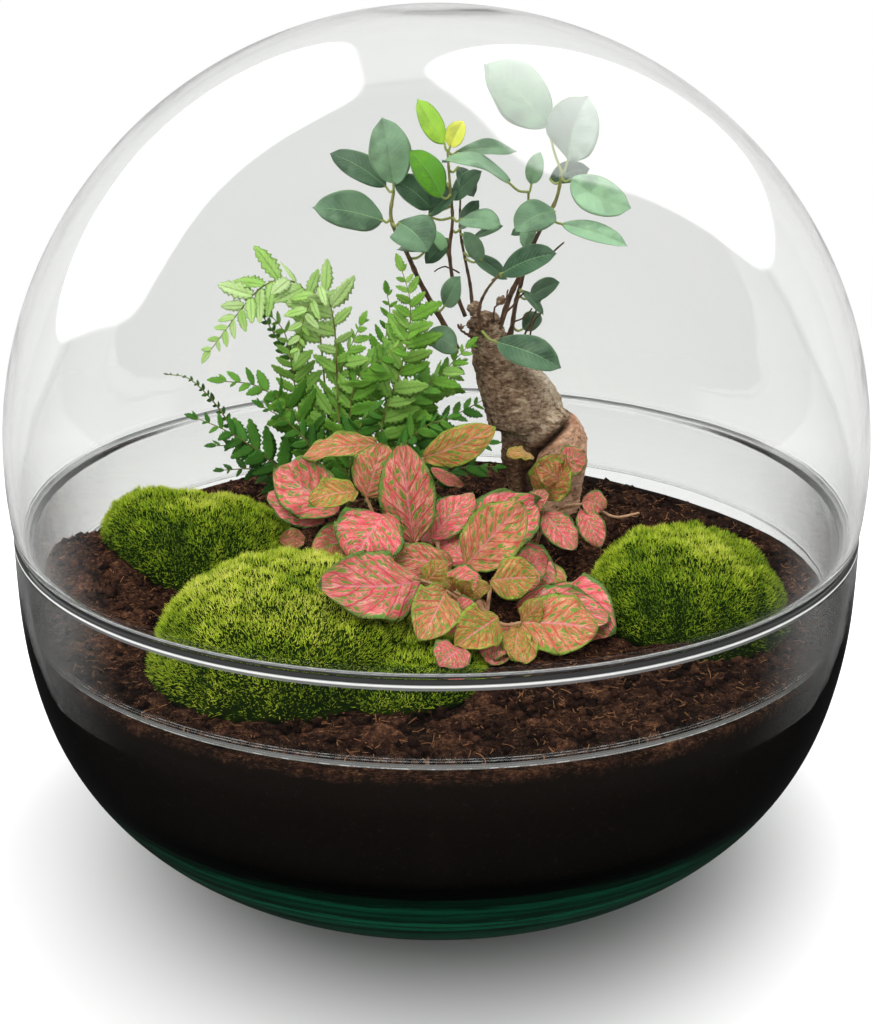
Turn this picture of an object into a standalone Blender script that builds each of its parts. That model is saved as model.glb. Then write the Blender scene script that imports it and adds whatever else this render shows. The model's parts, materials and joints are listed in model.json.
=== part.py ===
"""Closed glass terrarium: a round bowl with a lift-off dome, soil, three moss
cushions, a swollen-root ficus, a fern and a pink nerve plant.
Metres, +Z up, origin at the centre of the flat base, front towards -Y."""

import math

import bmesh
import bpy
from mathutils import Vector, noise

MM = 0.001

# Glass: the driving dimensions
DOME_RADIUS = 0.150
DOME_CENTRE_Z = 0.1557
DOME_WALL = 0.0026
RIM_Z = 0.133  # where the dome's shoulder sits on the bowl
BOWL_RADIUS = 0.1488
BOWL_WALL = 0.0030
BOWL_BELLY_Z = 0.126  # the bowl's widest level
BOWL_DEPTH = 0.1278
BOWL_SQUARENESS = 2.73  # 2 would be an ellipse
BASE_THICKNESS = 0.010
COLLAR_DEPTH = 0.0295  # how far the dome's collar reaches into the bowl
COLLAR_RADIUS = 0.1447
COLLAR_WALL = 0.0022
SHOULDER_RISE = 0.0022  # the globe turns in this far above the seat
GAP = 0.0004  # clearance between pieces that touch
GLASS_SEGMENTS = 44
WALL_STEPS = 10
DOME_STEPS = 14

# Soil
SOIL_EDGE_RADIUS = COLLAR_RADIUS - COLLAR_WALL - 3 * GAP
SOIL_LEVEL = 0.101
SOIL_SIDE_TOP = 0.093  # the plug follows the bowl's wall up to here
SOIL_RINGS = 8
SOIL_MOUNDS = (  # x, y, height, spread, in millimetres
    (-126, -8, 17, 26),
    (0, 20, 9, 60),
    (46, 64, 5, 26),
    (90, 95, -4, 50),
)

# Moss cushions: lobes as x, y, half width, half depth, height, in millimetres
MOSS_LIFT = 0.0014  # clearance under a cushion
MOSS_HEM = 0.0015  # how high its edge stands
MOSS_CUSHIONS = {
    "moss_back_left": ((-87, 6, 36, 32, 24),),
    "moss_front_left": ((-50, -69, 43, 42, 31), (-12, -82, 28, 24, 11)),
    "moss_right": ((88, -30, 35, 38, 27),),
}

# Ficus trunk: centre x, y, z and radius, in millimetres, from the roots up
TRUNK = (
    (46, 62, 112, 13.5),
    (45, 62, 120, 15.5),
    (43, 62, 130, 17.0),
    (40, 62, 141, 17.5),
    (35, 62, 152, 14.5),
    (29, 62, 163, 11.5),
    (23, 61, 173, 9.5),
    (20, 60, 181, 7.5),
)

# Ficus branches: thickness at the foot, then points, in millimetres
BRANCHES = {
    "ficus_branch_1": (2.4, (
        (8, 53, 176), (2, 54, 187), (-5, 55, 199), (-11, 56, 212), (-17, 57, 225),
        (-16, 57, 235),
    )),
    "ficus_branch_2": (1.7, (
        (11, 61, 187), (7, 60, 198), (5, 59, 211), (6, 58, 225), (5, 58, 238),
        (4, 58, 249),
    )),
    "ficus_branch_3": (1.5, ((14, 67, 188), (13, 67, 198), (11, 67, 208), (9, 66, 220))),
    "ficus_branch_4": (1.5, ((17, 51, 186), (16, 50, 192), (19, 49, 200), (23, 48, 206))),
    "ficus_branch_5": (2.2, (
        (24, 58, 187), (28, 58, 195), (33, 59, 206), (39, 60, 220), (45, 60, 232),
        (47, 60, 240),
    )),
    "ficus_branch_6": (1.9, (
        (29, 69, 182), (31, 69, 191), (34, 68, 204), (35, 67, 219), (35, 66, 233),
    )),
}

# Ficus leaves: foot, tip, width, arch, in millimetres
FICUS_LEAVES = (
    ((41, 57, 260), (17, 46, 283), 20, 2),
    ((49, 58, 247), (55, 48, 272), 21, 2),
    ((50, 58, 240), (72, 48, 231), 13, 3),
    ((36, 66, 237), (39, 60, 250), 7, 1),
    ((-16, 55, 239), (-20, 47, 264), 16, 2),
    ((-19, 60, 237), (-40, 62, 249), 11, 2),
    ((2, 55, 234), (-10, 47, 252), 11, 2),
    ((3, 58, 253), (-7, 54, 270), 9, 1),
    ((27, 56, 239), (2, 44, 248), 12, 4),
    ((8, 62, 250), (30, 60, 250), 9, 2),
    ((-20, 55, 225), (-46, 48, 231), 15, 2),
    ((-14, 50, 225), (-3, 40, 216), 18, 3),
    ((9, 52, 226), (24, 44, 225), 12, 2),
    ((44, 52, 229), (29, 42, 223), 14, 3),
    ((47, 54, 224), (71, 46, 217), 9, 2),
    ((24, 44, 207), (44, 38, 216), 12, 1),
    ((36, 66, 193), (47, 58, 201), 9, 1),
    ((34, 73, 179), (41, 74, 185), 8, 1),
    ((23, 48, 180), (47, 40, 172), 13, 3),
    ((8, 48, 177), (-4, 41, 185), 10, 1),
    ((3, 47, 194), (9, 40, 207), 9, 1),
    ((43, 66, 239), (58, 66, 243), 9, 1),
)

# Fern fronds: greatest width, then the midrib from the crown, in millimetres
FRONDS = {
    "fern_frond_1": (17, (
        (-38, 52, 115), (-42, 50, 150), (-45, 46, 190), (-53, 43, 204), (-66, 40, 202),
        (-85, 36, 179),
    )),
    "fern_frond_2": (14, (
        (-34, 42, 115), (-37, 40, 150), (-38, 38, 188), (-42, 34, 204), (-48, 30, 195),
        (-51, 27, 182),
    )),
    "fern_frond_3": (7, (
        (-40, 60, 115), (-44, 58, 140), (-52, 56, 162), (-60, 55, 178), (-68, 54, 191),
        (-78, 54, 201),
    )),
    "fern_frond_4": (6, (
        (-50, 46, 118), (-62, 42, 126), (-74, 40, 140), (-82, 38, 156), (-92, 34, 169),
        (-101, 32, 172),
    )),
    "fern_frond_5": (20, (
        (-42, 36, 117), (-48, 32, 142), (-54, 29, 158), (-66, 25, 169), (-79, 22, 172),
    )),
    "fern_frond_6": (17, (
        (-45, 30, 117), (-56, 25, 134), (-68, 20, 147), (-78, 17, 155), (-88, 15, 160),
    )),
    "fern_frond_7": (19, (
        (-26, 44, 115), (-20, 41, 152), (-14, 39, 170), (-10, 37, 188), (-10, 36, 200),
        (-13, 35, 211),
    )),
    "fern_frond_8": (18, (
        (-20, 52, 115), (-12, 53, 148), (-3, 55, 160), (6, 56, 166), (9, 52, 170),
    )),
}

# Nerve plant: stems, then leaves as foot, tip, width, arch, in millimetres
NERVE_STEMS = {
    "nerve_plant_stem_1": (2.4, (
        (6, -24, 112), (2, -20, 118), (-6, -17, 121), (-18, -14, 124), (-30, -11, 127),
    )),
    "nerve_plant_stem_2": (2.4, (
        (14, -40, 112), (14, -44, 113), (15, -50, 113), (17, -56, 113), (20, -61, 114),
    )),
}
NERVE_LEAVES = (
    ((-22, 8, 152), (-48, -4, 151), 9, 2),
    ((-25, -8, 137), (-18, -6, 157), 15, 2),
    ((-35, -9, 132), (-58, 2, 145), 16, 2),
    ((-18, -25, 137), (-28, -40, 125), 20, 2),
    ((-8, -16, 123), (-12, -14, 160), 16, 2),
    ((-5, 5, 148), (21, 8, 159), 10, 2),
    ((9, -18, 121), (36, -4, 134), 19, 3),
    ((10, -33, 121), (30, -30, 143), 17, 2),
    ((-5, -60, 127), (-37, -90, 138), 19, 3),
    ((3, -64, 125), (-5, -86, 117), 13, 2),
    ((18, -46, 121), (34, -50, 124), 12, 1),
    ((28, -62, 113), (53, -68, 113), 17, 2),
    ((27, -49, 113), (58, -58, 112), 13, 2),
    ((20, -66, 117), (6, -84, 114), 12, 2),
    ((39, 4, 132), (46, 2, 150), 13, 1),
)

VIEW_SIDE = Vector((0.0, -0.80, 0.60))  # most leaves turn their upper side to the front and up


def point(values):
    return Vector(values[:3]) * MM


def clear_scene():
    for obj in list(bpy.data.objects):
        bpy.data.objects.remove(obj, do_unlink=True)


def material(name, colour, roughness, transmission=0.0):
    made = bpy.data.materials.new(name)
    made.use_nodes = True
    shader = made.node_tree.nodes["Principled BSDF"]
    shader.inputs["Base Color"].default_value = (*colour, 1.0)
    shader.inputs["Roughness"].default_value = roughness
    shader.inputs["Metallic"].default_value = 0.0
    shader.inputs["Transmission Weight"].default_value = transmission
    return made


def link_object(name, data, mat):
    data.materials.append(mat)
    obj = bpy.data.objects.new(name, data)
    bpy.context.collection.objects.link(obj)
    return obj


def mesh_object(name, bm, mat):
    bmesh.ops.recalc_face_normals(bm, faces=bm.faces)
    mesh = bpy.data.meshes.new(name)
    bm.to_mesh(mesh)
    bm.free()
    mesh.shade_smooth()
    return link_object(name, mesh, mat)


def turned(name, profile, mat):
    """An outline of (radius, height) turned about Z, from its pole at one end to its pole at the other."""
    bm = bmesh.new()
    rings = []
    for radius, height in profile:
        if radius == 0.0:
            rings.append([bm.verts.new((0.0, 0.0, height))])
        else:
            rings.append(round_ring(bm, radius, lambda x, y, h=height: h))
    for lower, upper in zip(rings, rings[1:]):
        bridge(bm, lower, upper)
    return mesh_object(name, bm, mat)


def round_ring(bm, radius, height_at):
    """A ring of vertices about Z, each at the height that height_at gives for its place."""
    ring = []
    for i in range(GLASS_SEGMENTS):
        angle = 2 * math.pi * i / GLASS_SEGMENTS
        x = radius * math.cos(angle)
        y = radius * math.sin(angle)
        ring.append(bm.verts.new((x, y, height_at(x, y))))
    return ring


def bridge(bm, lower, upper):
    """Faces between two rings, either of which may be a single vertex."""
    count = max(len(lower), len(upper))
    for i in range(count):
        j = (i + 1) % count
        if len(lower) == 1:
            bm.faces.new((lower[0], upper[i], upper[j]))
        elif len(upper) == 1:
            bm.faces.new((lower[i], lower[j], upper[0]))
        else:
            bm.faces.new((lower[i], lower[j], upper[j], upper[i]))


def bowl_outer(height):
    """Outer radius of the bowl at a height."""
    if height >= BOWL_BELLY_Z:
        return BOWL_RADIUS
    share = (BOWL_BELLY_Z - height) / BOWL_DEPTH
    return BOWL_RADIUS * (1 - share ** BOWL_SQUARENESS) ** (1 / BOWL_SQUARENESS)


def bowl_inner(height):
    """Inner radius: the wall thickens towards the base, which is BASE_THICKNESS deep."""
    floor = BASE_THICKNESS
    depth = BOWL_BELLY_Z - floor
    if height >= BOWL_BELLY_Z:
        return BOWL_RADIUS - BOWL_WALL
    share = min(1.0, (BOWL_BELLY_Z - height) / depth)
    return (BOWL_RADIUS - BOWL_WALL) * (1 - share ** BOWL_SQUARENESS) ** (1 / BOWL_SQUARENESS)


def levels(top, bottom, count, crowding=1.7):
    """Heights from top to bottom, closer together near the bottom."""
    return [top + (bottom - top) * (1 - (1 - i / count) ** crowding) for i in range(count + 1)]


def make_bowl(mat):
    lip = BOWL_WALL / 2
    profile = [(0.0, 0.0)]
    for height in reversed(levels(BOWL_BELLY_Z, 0.0, WALL_STEPS)):
        profile.append((bowl_outer(height), height))
    for step in range(1, 4):
        angle = math.pi * step / 4
        centre = BOWL_RADIUS - lip
        profile.append((centre + lip * math.cos(angle), RIM_Z - lip + lip * math.sin(angle)))
    for height in levels(BOWL_BELLY_Z, BASE_THICKNESS, WALL_STEPS)[:-1]:
        profile.append((bowl_inner(height), height))
    profile.append((0.0, BASE_THICKNESS))
    return turned("glass_bowl", profile, mat)


def make_dome(mat):
    """A cut globe whose lower edge turns in to a shoulder and a collar that hangs inside the bowl."""
    seat = RIM_Z + GAP
    inner_radius = DOME_RADIUS - DOME_WALL
    collar_inner = COLLAR_RADIUS - COLLAR_WALL
    low_outer = math.asin((seat + SHOULDER_RISE - DOME_CENTRE_Z) / DOME_RADIUS)
    low_inner = math.acos((collar_inner + 0.0010) / inner_radius)
    profile = [(0.0, DOME_CENTRE_Z + DOME_RADIUS)]
    for step in range(1, DOME_STEPS + 1):
        angle = math.pi / 2 + (low_outer - math.pi / 2) * step / DOME_STEPS
        profile.append((DOME_RADIUS * math.cos(angle), DOME_CENTRE_Z + DOME_RADIUS * math.sin(angle)))
    profile.append((BOWL_RADIUS - 0.0012, seat))
    profile.append((COLLAR_RADIUS, seat))
    profile.append((COLLAR_RADIUS - 0.0003, RIM_Z - COLLAR_DEPTH + COLLAR_WALL / 2))
    profile.append((COLLAR_RADIUS - COLLAR_WALL / 2, RIM_Z - COLLAR_DEPTH))
    profile.append((collar_inner - 0.0002, RIM_Z - COLLAR_DEPTH + COLLAR_WALL / 2))
    profile.append((collar_inner, seat + 0.0010))
    for step in range(DOME_STEPS):
        angle = -low_inner + (math.pi / 2 + low_inner) * step / DOME_STEPS
        profile.append((inner_radius * math.cos(angle), DOME_CENTRE_Z + inner_radius * math.sin(angle)))
    profile.append((0.0, DOME_CENTRE_Z + inner_radius))
    return turned("glass_dome", profile, mat)


def soil_height(x, y):
    """Height of the soil's surface at a point, in metres."""
    height = SOIL_LEVEL
    for mound_x, mound_y, rise, spread in SOIL_MOUNDS:
        away = (x / MM - mound_x) ** 2 + (y / MM - mound_y) ** 2
        height += rise * MM * math.exp(-away / (2 * spread * spread))
    return height


def make_soil(mat):
    """A plug that fills the bowl and is heaped up inside the dome's collar."""
    under_collar = RIM_Z - COLLAR_DEPTH - GAP
    bm = bmesh.new()
    rings = [[bm.verts.new((0.0, 0.0, BASE_THICKNESS + 2 * GAP))]]
    for height in reversed(levels(BOWL_BELLY_Z, BASE_THICKNESS, WALL_STEPS)[:-1]):
        if height < SOIL_SIDE_TOP:
            radius = bowl_inner(height) - 2 * GAP
            rings.append(round_ring(bm, radius, lambda x, y, h=height: h + 2 * GAP))
    for radius in (bowl_inner(SOIL_LEVEL) - 4 * GAP, SOIL_EDGE_RADIUS):
        rings.append(round_ring(bm, radius, lambda x, y: min(soil_height(x, y), under_collar)))
    for step in range(SOIL_RINGS):
        radius = (SOIL_EDGE_RADIUS - 2 * GAP) * (1 - step / SOIL_RINGS)
        rings.append(round_ring(bm, radius, soil_height))
    rings.append([bm.verts.new((0.0, 0.0, soil_height(0.0, 0.0)))])
    for lower, upper in zip(rings, rings[1:]):
        bridge(bm, lower, upper)
    return mesh_object("potting_soil", bm, mat)


def moss_rise(lobes, x, y):
    """Height of a cushion over the soil at a point, or a negative number outside it."""
    best = -1.0
    for lobe_x, lobe_y, half_x, half_y, rise in lobes:
        away = ((x / MM - lobe_x) / half_x) ** 2 + ((y / MM - lobe_y) / half_y) ** 2
        if away < 1:
            best = max(best, rise * MM * (1 - away ** 1.25) ** 0.55)
    return best


def moss_reach(lobes, angle):
    """How far the cushion's edge is from the first lobe's centre, along an angle."""
    centre_x, centre_y = lobes[0][0] * MM, lobes[0][1] * MM
    reach = 0.0
    step = 0.0005
    for i in range(200):
        along = i * step
        if moss_rise(lobes, centre_x + along * math.cos(angle), centre_y + along * math.sin(angle)) > 0:
            reach = along
    return reach


def make_moss(name, lobes, mat, segments=26, rings=7):
    """A cushion that follows the soil underneath and is crowned on top."""
    bm = bmesh.new()
    centre_x, centre_y = lobes[0][0] * MM, lobes[0][1] * MM
    reaches = [moss_reach(lobes, 2 * math.pi * i / segments) for i in range(segments)]
    top = [[bm.verts.new((centre_x, centre_y, soil_height(centre_x, centre_y) + lobes[0][4] * MM))]]
    under = [[bm.verts.new((centre_x, centre_y, soil_height(centre_x, centre_y) + MOSS_LIFT))]]
    for ring in range(1, rings + 1):
        share = math.sin(math.pi / 2 * ring / rings)
        top_ring = []
        under_ring = []
        for i, reach in enumerate(reaches):
            angle = 2 * math.pi * i / segments
            x = centre_x + reach * share * math.cos(angle)
            y = centre_y + reach * share * math.sin(angle)
            ground = soil_height(x, y) + MOSS_LIFT
            if ring == rings:
                vert = bm.verts.new((x, y, ground + MOSS_HEM))
                top_ring.append(vert)
                under_ring.append(vert)
                continue
            bump = 0.0012 * noise.noise(Vector((x, y, 0.0)) * 90)
            top_ring.append(bm.verts.new((x, y, ground + max(0.003, moss_rise(lobes, x, y) + bump))))
            under_ring.append(bm.verts.new((x, y, ground)))
        top.append(top_ring)
        under.append(under_ring)
    for inner, outer in zip(top, top[1:]):
        bridge(bm, inner, outer)
    for inner, outer in zip(under, under[1:]):
        bridge(bm, inner, outer)
    return mesh_object(name, bm, mat)


def make_trunk(mat, segments=16):
    """A swollen root that leans as it rises, with a root lobe on its right foot."""
    bm = bmesh.new()
    rings = []
    for x, y, z, radius in TRUNK:
        ring = []
        for i in range(segments):
            angle = 2 * math.pi * i / segments
            lobe = 1 + 0.10 * math.cos(3 * angle + z * 0.03) + 0.05 * math.cos(5 * angle + z * 0.08)
            ring.append(bm.verts.new((
                (x + radius * lobe * math.cos(angle)) * MM,
                (y + radius * lobe * 0.9 * math.sin(angle)) * MM,
                z * MM,
            )))
        rings.append(ring)
    rings.insert(0, [bm.verts.new(point(TRUNK[0]))])
    top = point(TRUNK[-1])
    rings.append([bm.verts.new(top + Vector((0, 0, 0.0015)))])
    for lower, upper in zip(rings, rings[1:]):
        bridge(bm, lower, upper)
    return mesh_object("ficus_trunk", bm, mat)


def make_twig(name, thickness, points, mat):
    """A tapering twig: a bevelled curve with closed ends."""
    curve = bpy.data.curves.new(name, "CURVE")
    curve.dimensions = "3D"
    curve.bevel_depth = thickness / 2 * MM
    curve.bevel_resolution = 1
    curve.use_fill_caps = True
    spline = curve.splines.new("POLY")
    spline.points.add(len(points) - 1)
    for i, values in enumerate(points):
        spline.points[i].co = (*point(values), 1.0)
        spline.points[i].radius = 1.0 - 0.55 * i / (len(points) - 1)
    return link_object(name, curve, mat)


def smooth_path(points, count):
    """Evenly counted stations on a Catmull-Rom curve through the points."""
    ends = [points[0] * 2 - points[1], *points, points[-1] * 2 - points[-2]]
    path = []
    for i in range(count + 1):
        place = i / count * (len(points) - 1)
        k = min(int(place), len(points) - 2)
        t = place - k
        a, b, c, d = ends[k:k + 4]
        square = 2 * a - 5 * b + 4 * c - d
        cube = 3 * b - a - 3 * c + d
        path.append(0.5 * (2 * b + (c - a) * t + square * t ** 2 + cube * t ** 3))
    return path


def make_blade(name, path, width_at, face, mat, columns=4, thickness=0.0008, cup=0.12):
    """A leaf or frond: a thin lens that follows a path, with its upper side turned to face."""
    bm = bmesh.new()
    rows = len(path) - 1
    upper = [[bm.verts.new(path[0])]]
    lower = [upper[0]]
    for i in range(1, rows):
        along = (path[i + 1] - path[i - 1]).normalized()
        side = along.cross(face).normalized()
        normal = side.cross(along).normalized()
        half = width_at(i / rows) / 2
        upper_row = []
        lower_row = []
        for j in range(columns + 1):
            across = 2 * j / columns - 1
            place = path[i] + side * half * across + normal * cup * half * abs(across) ** 2
            if j in (0, columns):
                vert = bm.verts.new(place)
                upper_row.append(vert)
                lower_row.append(vert)
                continue
            body = normal * thickness / 2 * (1 - across * across)
            upper_row.append(bm.verts.new(place + body))
            lower_row.append(bm.verts.new(place - body))
        upper.append(upper_row)
        lower.append(lower_row)
    upper.append([bm.verts.new(path[-1])])
    lower.append(upper[-1])
    for sheet in (upper, lower):
        for row, following in zip(sheet, sheet[1:]):
            strip(bm, row, following)
    return mesh_object(name, bm, mat)


def strip(bm, row, following):
    for j in range(max(len(row), len(following)) - 1):
        if len(row) == 1:
            bm.faces.new((row[0], following[j], following[j + 1]))
        elif len(following) == 1:
            bm.faces.new((row[j], row[j + 1], following[0]))
        else:
            bm.faces.new((row[j], row[j + 1], following[j + 1], following[j]))


def leaf_width(width, belly):
    """Width along a leaf whose widest place is at the share belly of its length."""
    power = math.log(0.5) / math.log(belly)
    return lambda t: width * MM * math.sin(math.pi * t ** power) ** 0.75


def frond_width(width):
    """Bare stalk at first, then full width, then a long taper."""
    def at(t):
        if t < 0.25:
            return 1.6 * MM
        share = (t - 0.25) / 0.75
        return max(1.6, width * math.sin(math.pi * (0.12 + 0.85 * share)) ** 0.8) * MM
    return at


def make_leaf(name, foot, tip, width, arch, belly, mat, rows=6):
    start, end = point(foot), point(tip)
    along = (end - start).normalized()
    normal = (VIEW_SIDE - along * VIEW_SIDE.dot(along)).normalized()
    path = []
    for i in range(rows + 1):
        share = i / rows
        path.append(start + (end - start) * share + normal * arch * MM * math.sin(math.pi * share))
    return make_blade(name, path, leaf_width(width, belly), VIEW_SIDE, mat)


def main():
    clear_scene()
    clear_glass = material("clear_glass", (0.93, 0.96, 0.95), 0.02, 1.0)
    green_glass = material("green_glass", (0.02, 0.22, 0.12), 0.03, 0.9)
    peat = material("potting_soil", (0.045, 0.028, 0.020), 0.95)
    moss = material("moss", (0.14, 0.22, 0.03), 0.9)
    bark = material("bark", (0.20, 0.13, 0.09), 0.85)
    twig = material("twig", (0.10, 0.06, 0.04), 0.8)
    ficus_green = material("ficus_leaf", (0.05, 0.13, 0.06), 0.35)
    fern_green = material("fern", (0.20, 0.38, 0.08), 0.55)
    nerve_pink = material("nerve_leaf", (0.75, 0.16, 0.15), 0.5)

    make_bowl(green_glass)
    make_dome(clear_glass)
    make_soil(peat)
    for name, lobes in MOSS_CUSHIONS.items():
        make_moss(name, lobes, moss)
    make_trunk(bark)
    for name, (thickness, points) in BRANCHES.items():
        make_twig(name, thickness, points, twig)
    for number, (foot, tip, width, arch) in enumerate(FICUS_LEAVES, 1):
        make_leaf(f"ficus_leaf_{number:02d}", foot, tip, width, arch, 0.58, ficus_green)
    for name, (width, points) in FRONDS.items():
        path = smooth_path([point(values) for values in points], 12)
        make_blade(name, path, frond_width(width), VIEW_SIDE, fern_green)
    for name, (thickness, points) in NERVE_STEMS.items():
        make_twig(name, thickness, points, nerve_pink)
    for number, (foot, tip, width, arch) in enumerate(NERVE_LEAVES, 1):
        make_leaf(f"nerve_plant_leaf_{number:02d}", foot, tip, width, arch, 0.5, nerve_pink)


main()
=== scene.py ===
import json
import math

import bpy
import numpy as np
from mathutils import Matrix, Vector, noise

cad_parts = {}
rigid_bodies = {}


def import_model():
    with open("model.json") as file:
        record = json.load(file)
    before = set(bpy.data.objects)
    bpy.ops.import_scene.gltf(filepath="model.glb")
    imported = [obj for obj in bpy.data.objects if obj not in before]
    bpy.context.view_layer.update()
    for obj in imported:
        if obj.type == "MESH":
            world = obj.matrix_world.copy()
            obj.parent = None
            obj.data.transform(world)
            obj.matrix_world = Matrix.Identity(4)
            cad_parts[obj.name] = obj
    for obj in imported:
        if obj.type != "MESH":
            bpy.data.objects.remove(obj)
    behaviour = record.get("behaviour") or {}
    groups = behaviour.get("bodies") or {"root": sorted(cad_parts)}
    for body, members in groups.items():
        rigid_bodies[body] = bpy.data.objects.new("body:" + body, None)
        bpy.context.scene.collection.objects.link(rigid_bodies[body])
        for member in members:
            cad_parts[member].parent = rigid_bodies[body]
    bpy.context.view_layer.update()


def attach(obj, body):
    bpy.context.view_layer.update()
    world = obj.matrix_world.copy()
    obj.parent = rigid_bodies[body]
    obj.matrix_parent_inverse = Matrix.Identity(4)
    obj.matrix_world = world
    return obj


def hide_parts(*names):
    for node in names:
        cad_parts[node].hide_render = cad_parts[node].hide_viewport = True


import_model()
mm = 0.001
scene = bpy.context.scene


# mesh tools
def addMesh(name, parts, mat, smooth=True):
    # parts: (points, [face arrays], per-point colour of along, across, tone, under)
    points, marks, loops, starts = [], [], [], []
    base = cursor = 0
    for pts, faceSets, mark in parts:
        points.append(pts)
        marks.append(mark)
        for faces in faceSets:
            if len(faces) == 0:
                continue
            loops.append((faces + base).ravel())
            starts.append(cursor + faces.shape[1] * np.arange(len(faces)))
            cursor += faces.size
        base += len(pts)
    mesh = bpy.data.meshes.new(name)
    mesh.vertices.add(base)
    mesh.vertices.foreach_set("co", np.concatenate(points).astype(np.float32).ravel())
    mesh.loops.add(cursor)
    mesh.loops.foreach_set("vertex_index", np.concatenate(loops).astype(np.int32))
    starts = np.concatenate(starts).astype(np.int32)
    mesh.polygons.add(len(starts))
    mesh.polygons.foreach_set("loop_start", starts)
    mesh.update(calc_edges=True)
    mesh.validate()
    layer = mesh.attributes.new("mark", "FLOAT_COLOR", "POINT")
    layer.data.foreach_set("color", np.concatenate(marks).astype(np.float32).ravel())
    if smooth:
        mesh.shade_smooth()
    mesh.materials.append(mat)
    obj = bpy.data.objects.new(name, mesh)
    scene.collection.objects.link(obj)
    return obj


def settle(obj, slotName, *nodes):
    # every piece stands still in the one body, and may stand for CAD nodes
    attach(obj, "root")
    if nodes:
        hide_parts(*nodes)


def unit(v):
    v = np.asarray(v, float)
    return v / np.maximum(np.linalg.norm(v, axis=-1, keepdims=True), 1e-12)


def sheetFaces(rows, cols, wrap=False):
    i, j = np.meshgrid(np.arange(rows - 1), np.arange(cols if wrap else cols - 1), indexing="ij")
    a = i * cols + j
    b = i * cols + (j + 1) % cols
    return np.stack([a, b, b + cols, a + cols], -1).reshape(-1, 4)


def smoothPath(points, count):
    # evenly counted stations on a Catmull-Rom curve
    p = np.asarray(points, float)
    p = np.vstack([2 * p[0] - p[1], p, 2 * p[-1] - p[-2]])
    place = np.linspace(0, len(p) - 3, count)
    k = np.minimum(place.astype(int), len(p) - 4)
    t = (place - k)[:, None]
    a, b, c, d = p[k], p[k + 1], p[k + 2], p[k + 3]
    return 0.5 * (2 * b + (c - a) * t + (2 * a - 5 * b + 4 * c - d) * t**2
                  + (3 * b - a - 3 * c + d) * t**3)


def tangents(path):
    t = np.empty_like(path)
    t[1:-1] = path[2:] - path[:-2]
    t[0] = path[1] - path[0]
    t[-1] = path[-1] - path[-2]
    return unit(t)


def tube(path, radii, sides=10, tone=0.5, along=None, bumps=0.0, seed=0):
    # a closed, tapering tube along a path
    path = np.asarray(path, float)
    n = len(path)
    radii = np.broadcast_to(np.asarray(radii, float), (n,))
    t = tangents(path)
    ref = np.array([0.31, -0.9, 0.25])
    side = unit(np.cross(t, ref))
    up = np.cross(side, t)
    angle = np.linspace(0, 2 * math.pi, sides, endpoint=False)
    rng = np.random.default_rng(seed)
    r = radii[:, None] * (1 + bumps * rng.standard_normal((n, sides)))
    ring = (path[:, None] + r[..., None] * (np.cos(angle)[None, :, None] * side[:, None]
                                            + np.sin(angle)[None, :, None] * up[:, None]))
    pts = np.vstack([ring.reshape(-1, 3), path[:1] - t[:1] * radii[0] * 0.4,
                     path[-1:] + t[-1:] * radii[-1] * 0.6])
    j = np.arange(sides)
    last = (n - 1) * sides
    foot, tip = n * sides, n * sides + 1
    caps = np.vstack([np.stack([np.full(sides, foot), (j + 1) % sides, j], -1),
                      np.stack([np.full(sides, tip), last + j, last + (j + 1) % sides], -1)])
    mark = np.zeros((len(pts), 4))
    u = np.repeat(np.linspace(0, 1, n), sides) if along is None else np.full(n * sides, along)
    mark[:n * sides, 0] = u
    mark[-2:, 0] = (u[0], u[-1])
    mark[:, 1] = 0.5
    mark[:, 2] = tone
    return pts, [sheetFaces(n, sides, True), caps], mark


def blade(path, face, half, cols, thick, tone, fold=0.0, cup=0.0, lift=None, rib=0.0):
    # a closed thin leaf along a path, upper side turned to face
    n = len(path)
    t = tangents(path)
    side = unit(np.cross(t, face))
    normal = np.cross(side, t)
    across = np.linspace(-1, 1, cols)
    across = np.sign(across) * np.abs(across) ** 1.2
    wide = half[:, None] * across[None]
    rise = fold * np.abs(wide) + cup * wide * np.abs(across)[None]
    if lift is not None:
        rise = rise + lift(np.linspace(0, 1, n)[:, None], across[None])
    middle = (path[:, None] + side[:, None] * wide[..., None] + normal[:, None] * rise[..., None])
    body = thick / 2 * (1 - across**2)[None] * np.ones((n, 1))
    ridge = rib * np.exp(-(across / 0.13) ** 2)[None] * (1 - np.linspace(0, 1, n))[:, None] ** 0.6
    upper = middle + normal[:, None] * (body - ridge * 0.4)[..., None]
    lower = middle - normal[:, None] * (body + ridge)[..., None]
    index = np.arange(n * cols).reshape(n, cols)
    inner = np.zeros((n, cols), bool)
    inner[1:-1, 1:-1] = True
    under = index.copy()
    under[inner] = n * cols + np.arange(inner.sum())
    quads = sheetFaces(n, cols)
    pts = np.vstack([upper.reshape(-1, 3), lower[inner]])
    flat = under.ravel()
    faces = np.vstack([quads[:, ::-1], flat[quads]])
    mark = np.zeros((len(pts), 4))
    u = np.broadcast_to(np.linspace(0, 1, n)[:, None], (n, cols))
    v = np.broadcast_to(0.5 + 0.5 * across[None], (n, cols))
    mark[:, 0] = np.concatenate([u.ravel(), u[inner]])
    mark[:, 1] = np.concatenate([v.ravel(), v[inner]])
    mark[:, 2] = tone
    mark[n * cols:, 3] = 1
    mark[:n * cols, 3] = np.where(inner, 0, 0.35).ravel()
    return pts, [faces], mark


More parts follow.
